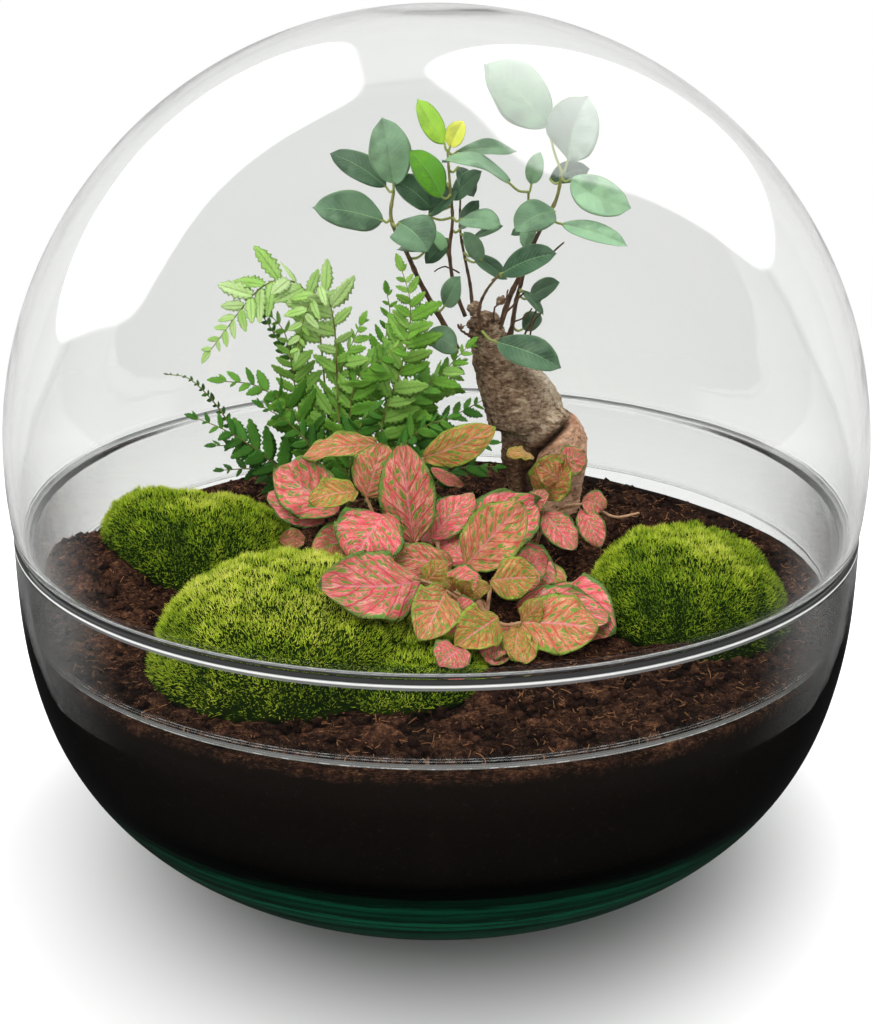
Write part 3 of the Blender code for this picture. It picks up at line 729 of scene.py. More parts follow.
# the ficus
trunk = {
    # limb centres and thickness in millimetres: the leaning root, its thin left leg, the round right lobe
    "limbs": (
        ((18, 60, 186, 6.2), (20, 60, 178, 7.0), (23, 60, 169, 8.8), (27, 60, 162, 11.6),
         (32, 60, 154, 14.6), (35, 61, 148, 15.2), (36, 61, 142, 12.5), (33, 61, 138, 9.0)),
        ((33, 60, 140, 8.5), (31, 59, 132, 5.4), (33, 59, 123, 4.9), (34, 59, 110, 5.2)),
        ((43, 55, 149, 8.0), (46, 54, 141, 12.0), (47, 54, 132, 12.0), (47, 56, 124, 11.4),
         (46, 58, 106, 10.8)),
    ),
    "crease": ((35.5, 108), (35.5, 130), (37, 136), (41, 140.5), (46.4, 145.5), (50.5, 148)),
    # creaseTone is painted shade in the crease
    "creaseDepth": 0.0040, "creaseWidth": 0.0015, "creaseTone": (0.018, 0.008, 0.004), "voxel": 0.0009,
    "stump": (18, 60, 186), "stumpKnobs": 9,
    # lowDark and low are painted shade under the lobe
    "lowDark": (0.055, 0.022, 0.010), "low": (0.240, 0.110, 0.050),
    "dark": (0.085, 0.048, 0.029), "brown": (0.310, 0.200, 0.128), "grey": (0.55, 0.42, 0.295),
    "pale": (0.82, 0.71, 0.56), "warmDark": (0.24, 0.100, 0.052), "warm": (0.54, 0.285, 0.170),
    "tan": (0.72, 0.43, 0.28), "warmPale": (0.90, 0.68, 0.52),
}


def barkLook():
    look = Look("ficus bark")
    lit, shaded, warm, sunk = look.marks()
    where = look.place()
    rings = look.noise(look.place((1, 1, 2.3)), 330.0, 5.0, 0.75, 0.6)
    scales = look.cells(look.place((1, 1, 1.5)), 480.0)
    broad = look.noise(where, 55.0, 4.0, 0.6)
    pits = look.noise(where, 640.0, 4.0, 0.7)
    shade = look.sum("MULTIPLY_ADD", rings, 0.62, look.sum("MULTIPLY", broad, 0.40))
    shade = look.sum("MULTIPLY_ADD", lit, 0.10, look.sum("SUBTRACT", shade, 0.05))
    shade = look.sum("MULTIPLY_ADD", scales, -0.10, look.sum("ADD", shade, 0.04))
    old = look.ramp(shade, (0.36, trunk["dark"]), (0.47, trunk["brown"]), (0.56, trunk["grey"]),
                    (0.68, trunk["pale"]))
    young = look.ramp(shade, (0.34, trunk["warmDark"]), (0.46, trunk["warm"]), (0.56, trunk["tan"]),
                      (0.70, trunk["warmPale"]))
    # painted shade under the lobe
    lowOld = look.ramp(shade, (0.40, trunk["lowDark"]), (0.62, trunk["low"]))
    old = look.mix(look.sum("MULTIPLY", shaded, 0.80), old, lowOld)
    colour = look.mix(warm, old, young)
    specks = look.ramp(pits, (0.60, 0.0), (0.66, 1.0))
    colour = look.mix(look.sum("MULTIPLY", specks, 0.8), colour, trunk["dark"])
    warts = look.ramp(scales, (0.10, 1.0), (0.22, 0.0))
    colour = look.mix(look.sum("MULTIPLY", warts, 0.35), colour, trunk["pale"])
    # painted shade in the crease
    colour = look.mix(look.sum("MULTIPLY", sunk, 0.92), colour, trunk["creaseTone"])
    pitted = look.sum("SUBTRACT", shade, look.sum("MULTIPLY", specks, 0.4))
    height = look.sum("MULTIPLY_ADD", warts, 0.4, pitted)
    return look.finish(Base_Color=colour, Roughness=0.85, Specular_IOR_Level=0.06,
                       Normal=look.bump(height, 1.0, 0.0018))


def makeTrunk(look):
    rng = np.random.default_rng(5)
    parts = []
    for limb in trunk["limbs"]:
        limb = smoothPath(np.array(limb), 26)
        path, radii = limb[:, :3] * mm, limb[:, 3] * mm
        parts.append(tube(path, radii, 28))
    for _ in range(trunk["stumpKnobs"]):     # the cut, knobbly top
        spot = np.array(trunk["stump"]) + rng.normal(0, 1, 3) * [4.2, 3.5, 2.2]
        parts.append(tube(np.array([spot, spot + rng.normal(0, 1, 3) * 1.2 + [0, 0, 1.5]]) * mm,
                          rng.uniform(1.4, 2.8) * mm, 8))
    rough = addMesh("rough_root", parts, look)
    remesh = rough.modifiers.new("one skin", "REMESH")
    remesh.mode = "VOXEL"
    remesh.voxel_size = trunk["voxel"]
    seen = rough.evaluated_get(bpy.context.evaluated_depsgraph_get())
    shape = bpy.data.meshes.new_from_object(seen)
    bpy.data.objects.remove(rough)
    pts = np.empty(len(shape.vertices) * 3, np.float32)
    shape.vertices.foreach_get("co", pts)
    pts = pts.reshape(-1, 3).astype(float)
    out = np.empty(len(shape.vertices) * 3, np.float32)
    shape.vertex_normals.foreach_get("vector", out)
    out = out.reshape(-1, 3)
    # broad swellings, ring wrinkles and small grain
    squeezed = pts * [1, 1, 2.4]
    swell = roughness(pts, 0.016, 2) * 0.0008
    rings = roughness(squeezed, 0.0034, 3) * 0.00055 + roughness(pts, 0.0014, 2) * 0.00030
    topMore = np.clip((pts[:, 2] - 0.172) / 0.010, 0, 1)
    pts += out * (swell + rings * (1 + 1.8 * topMore))[:, None]
    faces = np.empty(len(shape.polygons) * 4, np.int32)     # the remesh gives quads only
    shape.polygons.foreach_get("vertices", faces)
    # a deep crease on the camera side parts the lobe from the root
    line = np.array(trunk["crease"]) * mm
    flat = pts[:, [0, 2]]
    off = np.full(len(pts), 1.0)
    for foot, end in zip(line[:-1], line[1:]):
        way = unit(end - foot)
        along = np.clip((flat - foot) @ way, 0, np.linalg.norm(end - foot))
        off = np.minimum(off, np.linalg.norm(flat - foot - along[:, None] * way, axis=1))
    fade = np.clip((0.060 - pts[:, 1]) / 0.006, 0, 1) * np.exp(-(off / trunk["creaseWidth"]) ** 2)
    pts -= out * (trunk["creaseDepth"] * fade)[:, None]
    mark = np.zeros((len(pts), 4))
    way = unit(line[-1] - line[2])
    below = (flat - line[2]) @ np.array([way[1], -way[0]])
    # painted light rising towards the right, painted shade under the lobe, young warm bark below the crease
    mark[:, 0] = np.clip((pts[:, 0] - 0.020) / 0.026, 0, 1)
    mark[:, 1] = np.clip((0.150 - pts[:, 2] + 0.35 * (pts[:, 0] - 0.034)) / 0.012, 0, 1)
    mark[:, 2] = np.clip(below / 0.0015 + 0.4, 0, 1) * np.clip((pts[:, 0] - 0.035) / 0.002, 0, 1)
    # painted shade in the crease follows its depth
    mark[:, 3] = fade
    bpy.data.meshes.remove(shape)
    root = addMesh("swollen_root", [(pts, [faces.reshape(-1, 4)], mark)], look)
    settle(root, "bark", "ficus_trunk")


branches = {
    # thickness at the foot, then points, in millimetres
    "ficus_branch_1": (
        2.4, ((8, 53, 176), (2, 54, 187), (-5, 55, 199), (-11, 56, 212), (-17, 57, 225), (-16, 57, 236))),
    "ficus_branch_2": (
        1.7, ((11, 61, 187), (7, 60, 198), (5, 59, 211), (6, 58, 225), (5, 58, 238), (4, 58, 251))),
    "ficus_branch_3": (
        1.5, ((14, 67, 188), (13, 67, 198), (11, 67, 208), (9, 66, 220), (9, 64, 232))),
    "ficus_branch_4": (
        1.5, ((17, 51, 184), (16, 50, 192), (19, 49, 200), (24, 46, 207))),
    "ficus_branch_5": (
        2.2, ((24, 58, 182), (28, 58, 195), (33, 59, 206), (39, 60, 220), (45, 60, 232), (47, 60, 242))),
    "ficus_branch_6": (
        1.9, ((29, 66, 178), (31, 69, 191), (34, 68, 204), (35, 67, 219), (35, 66, 234))),
}
deadTwigs = (
    # thickness, points: dry twigs and stubs at the top of the root
    (0.9, ((24, 56, 182), (26, 54, 189), (29, 53, 193), (33, 52, 198))),
    (0.8, ((27, 56, 179), (29, 54, 186), (33, 53, 188), (36, 52, 192))),
    (0.8, ((36, 60, 176), (37, 59, 184), (40, 58, 189))),
    (0.9, ((33, 62, 176), (38, 62, 188), (42, 62, 197))),
    (1.1, ((14, 55, 180), (10, 52, 183), (8, 51, 186))),
    (0.8, ((22, 55, 186), (22, 52, 192), (26, 50, 196), (27, 49, 200))),
    (0.9, ((37, 60, 208), (43, 56, 212), (48, 54, 217))),
    (0.8, ((24, 46, 207), (21, 52, 203))),
    (0.7, ((9, 66, 203), (3, 62, 206), (-1, 58, 205))),
)


def twigLook():
    look = Look("young ficus wood")
    along, _, tone, _ = look.marks()
    grain = look.noise(look.place((1, 1, 0.5)), 700.0, 4.0, 0.6)
    wood = look.ramp(grain, (0.35, (0.045, 0.022, 0.012)), (0.6, (0.13, 0.068, 0.036)),
                     (0.8, (0.22, 0.14, 0.08)))
    fresh = look.ramp(grain, (0.35, (0.17, 0.19, 0.045)), (0.7, (0.36, 0.36, 0.12)))
    young = look.sum("MULTIPLY", look.spread(along, 0.55, 0.98), tone)
    colour = look.mix(young, wood, fresh)
    return look.finish(Base_Color=colour, Roughness=0.6, Specular_IOR_Level=0.3,
                       Normal=look.bump(grain, 0.5, 0.0004))


def makeBranches(look):
    for k, (name, (thick, points)) in enumerate(branches.items()):
        path = smoothPath(np.array(points), 40) * mm
        t = np.linspace(0, 1, 40)
        radii = thick / 2 * mm * (1 - 0.50 * t)
        for knot in np.arange(0.12, 1, 0.13):     # leaf scars
            radii = radii * (1 + 0.24 * np.exp(-((t - knot) / 0.012) ** 2))
        green = 1.0 if k in (0, 1, 4, 5) else 0.3
        parts = [tube(path, radii, 12, tone=green, bumps=0.02, seed=k)]
        settle(addMesh(name.replace("branch", "twig"), parts, look), "twig", name)
    parts = []
    for k, (thick, points) in enumerate(deadTwigs):
        path = smoothPath(np.array(points), 12) * mm
        path += np.random.default_rng(k).normal(0, 0.00012, path.shape)
        radii = np.linspace(thick, thick * 0.7, 12) / 2 * mm
        parts.append(tube(path, radii, 7, tone=0.0, bumps=0.06, seed=k))
    settle(addMesh("dry_twigs", parts, look), "twig")


ficus = {
    # foot, tip, width, arch in millimetres, then roll in degrees and colour from 0 pale grey-green, a painted
    # sheen, to 1 yellow
    "leaves": (
        ((41, 57, 260), (17, 46, 283), 20, 2, 0, 0.24), ((49, 58, 247), (55, 48, 272), 21, 2, 0, 0.02),
        ((50, 58, 240), (72, 48, 231), 14, 3, 25, 0.34), ((36, 66, 237), (39, 60, 250), 7, 1, 0, 0.30),
        ((-16, 55, 239), (-20, 47, 264), 16, 2, 0, 0.28), ((-19, 60, 237), (-40, 62, 249), 11, 2, 0, 0.12),
        ((2, 55, 234), (-10, 47, 252), 11, 2, 0, 0.66), ((3, 58, 253), (-7, 54, 270), 9, 1, 0, 0.84),
        ((27, 56, 239), (2, 44, 248), 12, 4, 25, 0.26), ((8, 62, 250), (30, 60, 250), 9, 2, -20, 0.20),
        ((-20, 55, 225), (-46, 48, 231), 15, 2, 0, 0.18), ((-14, 50, 225), (-3, 40, 216), 18, 3, 0, 0.20),
        ((9, 52, 226), (24, 44, 225), 12, 2, 0, 0.22), ((44, 52, 229), (29, 42, 223), 14, 3, 0, 0.20),
        ((47, 54, 224), (71, 46, 217), 9, 2, 0, 0.32), ((24, 44, 207), (44, 38, 216), 12, 1, 0, 0.10),
        ((36, 66, 193), (47, 58, 201), 9, 1, 0, 0.12), ((34, 73, 179), (41, 74, 185), 8, 1, 0, 0.14),
        ((23, 48, 180), (47, 40, 172), 14, 3, 0, 0.14), ((8, 48, 177), (-4, 41, 185), 10, 1, 0, 0.20),
        ((3, 47, 194), (9, 40, 207), 9, 1, 0, 0.16), ((43, 66, 239), (58, 66, 243), 9, 1, 10, 0.08),
    ),
    "smallLeaves": (
        ((5, 58, 252), (10, 55, 262), 8, 1, 0, 1.0), ((-2, 60, 229), (-16, 56, 240), 12, 2, 0, 0.10),
        ((-4, 58, 213), (-15, 54, 214), 4, 1, 10, 0.06), ((17, 60, 209), (10, 54, 221), 7, 1, 0, 0.24),
        ((14, 62, 211), (27, 58, 202), 7, 1, 0, 0.14), ((14, 60, 218), (25, 56, 223), 4, 1, 0, 0.22),
        ((5, 62, 217), (-4, 58, 208), 7, 1, 0, 0.10), ((33, 66, 196), (41, 58, 188), 4, 1, 0, 0.18),
        ((6, 60, 232), (17, 58, 243), 9, 1, 0, 0.12), ((36, 60, 226), (33, 56, 214), 6, 1, 0, 0.28),
        ((-3, 59, 226), (8, 60, 236), 8, 1, 0, 0.10), ((9, 60, 221), (16, 58, 232), 7, 1, 0, 0.08),
        ((38, 62, 222), (28, 58, 219), 5, 1, 10, 0.10), ((4, 60, 212), (-2, 58, 221), 5, 1, 0, 0.42),
        ((4, 62, 238), (-2, 60, 226), 8, 1, 0, 0.08), ((8, 62, 244), (14, 61, 233), 7, 1, 0, 0.06),
    ),
    "thickness": 0.00055, "cup": 0.16, "fold": 0.16, "petiole": 0.0011,
    "upSide": (0.0, -0.80, 0.60), "rows": 26, "cols": 15,
    # leaf colour by its number above: pale grey-green as a painted sheen, dark, dull, blue-green, fresh,
    # lime, yellow
    "tones": ((0.0, (0.340, 0.420, 0.360)), (0.08, (0.026, 0.070, 0.034)), (0.20, (0.110, 0.200, 0.115)),
              (0.36, (0.290, 0.490, 0.300)), (0.66, (0.110, 0.350, 0.016)), (0.84, (0.330, 0.620, 0.030)),
              (1.0, (0.80, 0.80, 0.10))),
    "veinTone": (0.40, 0.62, 0.30), "edgeTone": (0.38, 0.60, 0.27), "ribTone": (0.36, 0.58, 0.27),
    "backTone": (0.17, 0.26, 0.17), "stalkTone": (0.30, 0.36, 0.09),
}


def ficusLook():
    look = Look("ficus leaf")
    along, across, tone, under = look.marks()
    side = look.sum("ABSOLUTE", across)
    where = look.place()
    blotch = look.noise(where, 130.0, 4.0, 0.6)
    fine = look.noise(where, 900.0, 3.0, 0.6)
    shift = look.sum("MULTIPLY_ADD", blotch, 0.16, look.sum("SUBTRACT", tone, 0.08))
    # the pale grey-green end of the tones is a painted sheen
    colour = look.ramp(shift, *ficus["tones"])
    # painted light: one half of the blade is lighter, as if it caught more light, and the surface is mottled
    half = look.ramp(look.sum("MULTIPLY_ADD", across, 0.5, 0.5), (0.46, 0.80), (0.54, 1.25))
    halfLitMottled = look.mix(look.ramp(blotch, (0.35, 0.0), (0.65, 1.0)), half, (1.3, 1.3, 1.25))
    colour = look.mix(1.0, colour, halfLitMottled, "MULTIPLY")
    # side veins run from the midrib towards the tip and fade
    way = look.sum("MULTIPLY_ADD", side, -0.22, along)
    wave = look.sum("PINGPONG", look.sum("MULTIPLY", way, 13.0), 0.5)
    veins = look.ramp(wave, (0.0, 1.0), (0.10, 0.0))
    veins = look.sum("MULTIPLY", veins, look.ramp(side, (0.04, 1.0), (0.95, 0.0)))
    pale = look.mix(0.55, colour, ficus["veinTone"])
    colour = look.mix(look.sum("MULTIPLY", veins, 0.34), colour, pale)
    edge = look.ramp(side, (0.93, 0.0), (0.985, 1.0))
    colour = look.mix(look.sum("MULTIPLY", edge, 0.75), colour, ficus["edgeTone"])
    rib = look.sum("LESS_THAN", side, look.sum("MULTIPLY_ADD", along, -0.026, 0.034))
    colour = look.mix(look.sum("MULTIPLY", rib, 0.50), colour, ficus["ribTone"])
    back = look.mix(0.6, colour, ficus["backTone"])
    colour = look.mix(under, colour, back)
    speck = look.ramp(fine, (0.68, 0.0), (0.76, 1.0))
    colour = look.mix(look.sum("MULTIPLY", speck, 0.16), colour, (0.30, 0.42, 0.26))
    stalk = look.sum("LESS_THAN", along, -0.05)
    colour = look.mix(stalk, colour, ficus["stalkTone"])
    height = look.sum("MULTIPLY_ADD", veins, -0.5, look.sum("MULTIPLY", blotch, 0.6))
    gloss = look.sum("MULTIPLY_ADD", blotch, 0.24, 0.26)
    return look.finish(Base_Color=colour, Roughness=gloss, Specular_IOR_Level=0.5,
                       Normal=look.bump(height, 0.5, 0.0007))


def nearestBranch(foot):
    best, spot = 1e9, None
    for _, points in branches.values():
        path = smoothPath(np.array(points), 60) * mm
        gap = np.linalg.norm(path - foot, axis=1)
        k = int(gap.argmin())
        if gap[k] < best:
            best, spot = gap[k], path[k]
    return spot


def leafParts(leaf, settings, outline, seed, petioleTo=None, liftOf=None, rib=0.0003):
    foot, tip, width, arch, roll, tone = leaf
    rng = np.random.default_rng(seed)
    foot, tip = np.array(foot, float) * mm, np.array(tip, float) * mm
    up = np.array(settings["upSide"])
    way = unit(tip - foot)
    up = unit(up - way * (up @ way))
    a = math.radians(roll + rng.normal(0, 5))
    up = up * math.cos(a) + np.cross(way, up) * math.sin(a)
    t = np.linspace(0, 1, settings["rows"])
    bend = arch * mm * np.sin(math.pi * t**1.15)
    sway = np.cross(way, up) * rng.normal(0, 0.02) * np.linalg.norm(tip - foot)
    path = foot + (tip - foot) * t[:, None] + up * bend[:, None] + sway * np.sin(math.pi * t)[:, None]
    half = np.maximum(outline(t) * width * settings.get("fuller", 1.0) * mm / 2, 0.00006)
    lift = liftOf(rng, width * mm) if liftOf else None
    parts = [blade(path, up, half, settings["cols"], settings["thickness"], tone, settings["fold"],
                   settings["cup"], lift, rib)]
    if petioleTo is not None:
        start = np.array(petioleTo)
        mid = (start + foot) / 2 + np.array([0, 0, -0.0012])
        stalk = smoothPath(np.array([start, mid, foot, foot + way * 0.0015]), 12)
        radii = np.linspace(1, 0.75, 12) * settings["petiole"] / 2
        parts.append(tube(stalk, radii, 7, tone=tone, along=-0.1))
    return parts


def ficusOutline(t):
    body = t**0.72 * (1 - t) ** 0.72 / 0.3686
    return np.maximum(body * (1 - 0.55 * np.clip((t - 0.90) / 0.10, 0, 1)), 0)


def ficusLift(rng, width):
    a, b, c = rng.uniform(0, 6.28, 3)

    def lift(u, v):
        wave = 0.030 * np.sin(7 * u + a) * v**2 + 0.022 * np.sin(11 * u + b) * np.abs(v) ** 3
        return width * (wave + 0.06 * np.sin(3 * u + c) * v)
    return lift


def makeFicusLeaves(look):
    for k, leaf in enumerate(ficus["leaves"]):
        reach = nearestBranch(np.array(leaf[0]) * mm)
        parts = leafParts(leaf, ficus, ficusOutline, 100 + k, reach, ficusLift)
        obj = addMesh(f"ficus_blade_{k + 1}", parts, look)
        settle(obj, "ficus_leaf", f"ficus_leaf_{k + 1:02d}")
    parts = []
    for k, leaf in enumerate(ficus["smallLeaves"]):
        reach = nearestBranch(np.array(leaf[0]) * mm)
        parts += leafParts(leaf, ficus, ficusOutline, 200 + k, reach, ficusLift)
    settle(addMesh("small_ficus_leaves", parts, look), "ficus_leaf")


# the fern
fern = {
    # name: greatest width, share of bare stalk, colour from 0 dark to 1 light, points of the midrib
    "fronds": {
        "fern_frond_1": (
            22, 0.50, 0.85, (
                (-38, 52, 115), (-42, 50, 150), (-45, 46, 190), (-53, 43, 204),
                (-66, 40, 202), (-85, 36, 179))),
        "fern_frond_2": (
            19, 0.50, 0.80, (
                (-34, 42, 115), (-37, 40, 150), (-38, 38, 188), (-42, 34, 204),
                (-48, 30, 195), (-51, 27, 182))),
        "fern_frond_3": (
            8, 0.10, 0.15, (
                (-40, 60, 115), (-44, 58, 140), (-52, 56, 162), (-60, 55, 178),
                (-68, 54, 191), (-78, 54, 201))),
        "fern_frond_4": (
            6, 0.06, 0.05, (
                (-50, 46, 118), (-62, 42, 126), (-74, 40, 140), (-82, 38, 156),
                (-92, 34, 169), (-101, 32, 172))),
        "fern_frond_5": (
            22, 0.20, 0.35, (
                (-42, 36, 117), (-48, 32, 142), (-54, 29, 158), (-66, 25, 169),
                (-79, 22, 172))),
        "fern_frond_6": (
            19, 0.12, 0.20, (
                (-45, 30, 117), (-56, 25, 134), (-68, 20, 147), (-78, 17, 155),
                (-88, 15, 160))),
        "fern_frond_7": (
            24, 0.28, 0.60, (
                (-26, 44, 115), (-20, 41, 152), (-14, 39, 170), (-10, 37, 188),
                (-10, 36, 200), (-13, 35, 211))),
        "fern_frond_8": (
            24, 0.22, 0.50, ((-20, 52, 115), (-12, 53, 148), (-3, 55, 160), (6, 56, 166), (9, 52, 170))),
    },
    # more fronds fill the clump between the named ones
    "filling": (
        (20, 0.22, 0.50, ((-34, 44, 115), (-33, 40, 150), (-30, 36, 168), (-20, 33, 178), (-10, 32, 186))),
        (22, 0.24, 0.45, ((-28, 46, 115), (-24, 46, 142), (-12, 47, 156), (2, 48, 168), (12, 50, 178))),
        (18, 0.20, 0.30, ((-24, 50, 115), (-12, 51, 136), (0, 52, 146), (12, 54, 152), (20, 56, 156))),
        (22, 0.26, 0.55, ((-36, 44, 115), (-40, 44, 146), (-38, 42, 163), (-34, 40, 176), (-28, 38, 190))),
        (16, 0.15, 0.15, ((-44, 34, 116), (-54, 30, 128), (-62, 27, 140), (-72, 24, 146), (-83, 22, 147))),
        (18, 0.18, 0.25, ((-40, 30, 116), (-44, 26, 134), (-48, 22, 148), (-56, 19, 158), (-64, 17, 164))),
        (20, 0.18, 0.22, ((-34, 30, 116), (-33, 25, 134), (-30, 21, 148), (-27, 18, 158), (-22, 15, 164))),
        (20, 0.16, 0.28, ((-26, 34, 116), (-20, 30, 134), (-12, 26, 146), (-4, 24, 154), (5, 22, 158))),
        (17, 0.14, 0.18, ((-16, 40, 114), (-6, 38, 128), (4, 38, 138), (13, 38, 142), (21, 38, 143))),
        (18, 0.20, 0.62, ((-42, 48, 116), (-52, 48, 148), (-55, 47, 170), (-57, 45, 184), (-62, 42, 192))),
        (18, 0.20, 0.40, ((-36, 52, 116), (-32, 54, 150), (-22, 55, 172), (-18, 56, 188), (-19, 56, 198))),
        (15, 0.10, 0.12, ((-48, 40, 116), (-60, 38, 128), (-70, 36, 133), (-82, 32, 134))),
        (16, 0.16, 0.20, ((-10, 44, 114), (2, 46, 126), (12, 48, 130), (24, 48, 130))),
    ),
    "spacing": 0.0074, "stalk": 0.0011, "thickness": 0.00022, "upSide": (0.0, -0.62, 0.78),
    "tones": ((0.0, (0.014, 0.065, 0.012)), (0.25, (0.050, 0.185, 0.020)), (0.50, (0.170, 0.400, 0.040)),
              (0.75, (0.380, 0.640, 0.150)), (1.0, (0.620, 0.820, 0.380))),
    "veinTone": (0.10, 0.20, 0.03), "ribTone": (0.10, 0.19, 0.03), "backTone": (0.10, 0.20, 0.06),
}


def fernLook():
    look = Look("fern frond")
    along, across, tone, under = look.marks()
    side = look.sum("ABSOLUTE", across)
    where = look.place()
    blotch = look.noise(where, 110.0, 4.0, 0.6)
    shift = look.sum("MULTIPLY_ADD", blotch, 0.45, look.sum("SUBTRACT", tone, 0.22))
    colour = look.ramp(shift, *fern["tones"])
    way = look.sum("MULTIPLY_ADD", side, -0.30, along)
    wave = look.sum("PINGPONG", look.sum("MULTIPLY", way, 7.0), 0.5)
    veins = look.ramp(wave, (0.0, 1.0), (0.16, 0.0))
    colour = look.mix(look.sum("MULTIPLY", veins, 0.25), colour, fern["veinTone"])
    rib = look.sum("LESS_THAN", side, 0.10)
    colour = look.mix(look.sum("MULTIPLY", rib, 0.45), colour, fern["ribTone"])
    colour = look.mix(look.sum("MULTIPLY", under, 0.35), colour, fern["backTone"])
    stalk = look.sum("LESS_THAN", along, -0.05)
    woody = look.ramp(blotch, (0.35, (0.11, 0.075, 0.028)), (0.65, (0.28, 0.32, 0.08)))
    colour = look.mix(stalk, colour, woody)
    return look.finish(Base_Color=colour, Roughness=0.45, Specular_IOR_Level=0.12,
                       Normal=look.bump(look.sum("MULTIPLY", veins, -1.0), 0.4, 0.0003))


def pinna(rng, foot, way, up, length, tone, slender):
    # one toothed leaflet
    rows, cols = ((23, 5))
    t = np.linspace(0, 1, rows)
    droop = up * (-0.10 * length * t**2)[:, None]
    path = foot + way * (length * t)[:, None] + droop
    body = np.sin(math.pi * np.clip(t * 0.93 + 0.07, 0, 1) ** 0.85) ** 0.6
    teeth = 0.70 + 0.60 * (1 - (t * 6.5 + 0.35) % 1) ** 0.7
    half = np.maximum(length * slender / 2 * body * teeth, 0.00005)
    half[-1] = 0.00005
    fold = rng.uniform(0.05, 0.3)
    return blade(path, up, half, cols, fern["thickness"], tone, fold=fold, rib=0.00008)


def frondParts(width, bare, tone, points, seed):
    rng = np.random.default_rng(seed)
    path = smoothPath(np.array(points), 64) * mm
    gaps = np.linalg.norm(np.diff(path, axis=0), axis=1)
    run = np.concatenate([[0], np.cumsum(gaps)])
    total = run[-1]
    radii = fern["stalk"] / 2 * (1 - 0.72 * run / total)
    parts = [tube(path, radii, 6, tone=tone, along=-0.1)]
    t = tangents(path)
    up = np.array(fern["upSide"])
    narrow = width < 10
    step = fern["spacing"] * (0.62 if narrow else 1.0)
    s = bare * total
    while s < total * 0.985:
        share = (s - bare * total) / (total * (1 - bare))
        here = np.array([np.interp(s, run, path[:, i]) for i in range(3)])
        way = unit(np.array([np.interp(s, run, t[:, i]) for i in range(3)]))
        top = unit(up - way * (up @ way))
        side = np.cross(way, top)
        swell = 0.55 + 0.9 * math.sin(math.pi * min(1, 0.18 + share * 0.80)) ** 0.9
        size = width * mm / 2 * swell * 0.92 * (1 - 0.55 * share**3)
        for sign in (-1, 1):
            lean = 0.55 + 0.35 * share + rng.normal(0, 0.09)
            out = unit(side * sign + way * lean + top * rng.normal(0.04, 0.32))
            normal = unit(top + side * sign * rng.normal(0, 0.35) + way * rng.normal(0, 0.22))
            grow = size * rng.uniform(0.72, 1.20)
            parts.append(pinna(rng, here + way * step * 0.25 * sign, out, normal, grow,
                               tone + rng.normal(0, 0.07), 0.52 if narrow else 0.40))
        s += step * rng.uniform(0.9, 1.1) * (1 - 0.45 * share)
    end = unit(t[-1])
    parts.append(pinna(rng, path[-1] - end * 0.001, end, unit(up - end * (up @ end)),
                       width * mm * 0.28, tone, 0.45))
    return parts


def makeFern(look):
    for k, (name, (width, bare, tone, points)) in enumerate(fern["fronds"].items()):
        parts = frondParts(width, bare, tone, points, 300 + k)
        settle(addMesh(name.replace("fern_frond", "leafy_frond"), parts, look), "fern", name)
    parts = []
    for k, (width, bare, tone, points) in enumerate(fern["filling"]):
        parts += frondParts(width, bare, tone, points, 340 + k)
    settle(addMesh("fern_filling", parts, look), "fern")


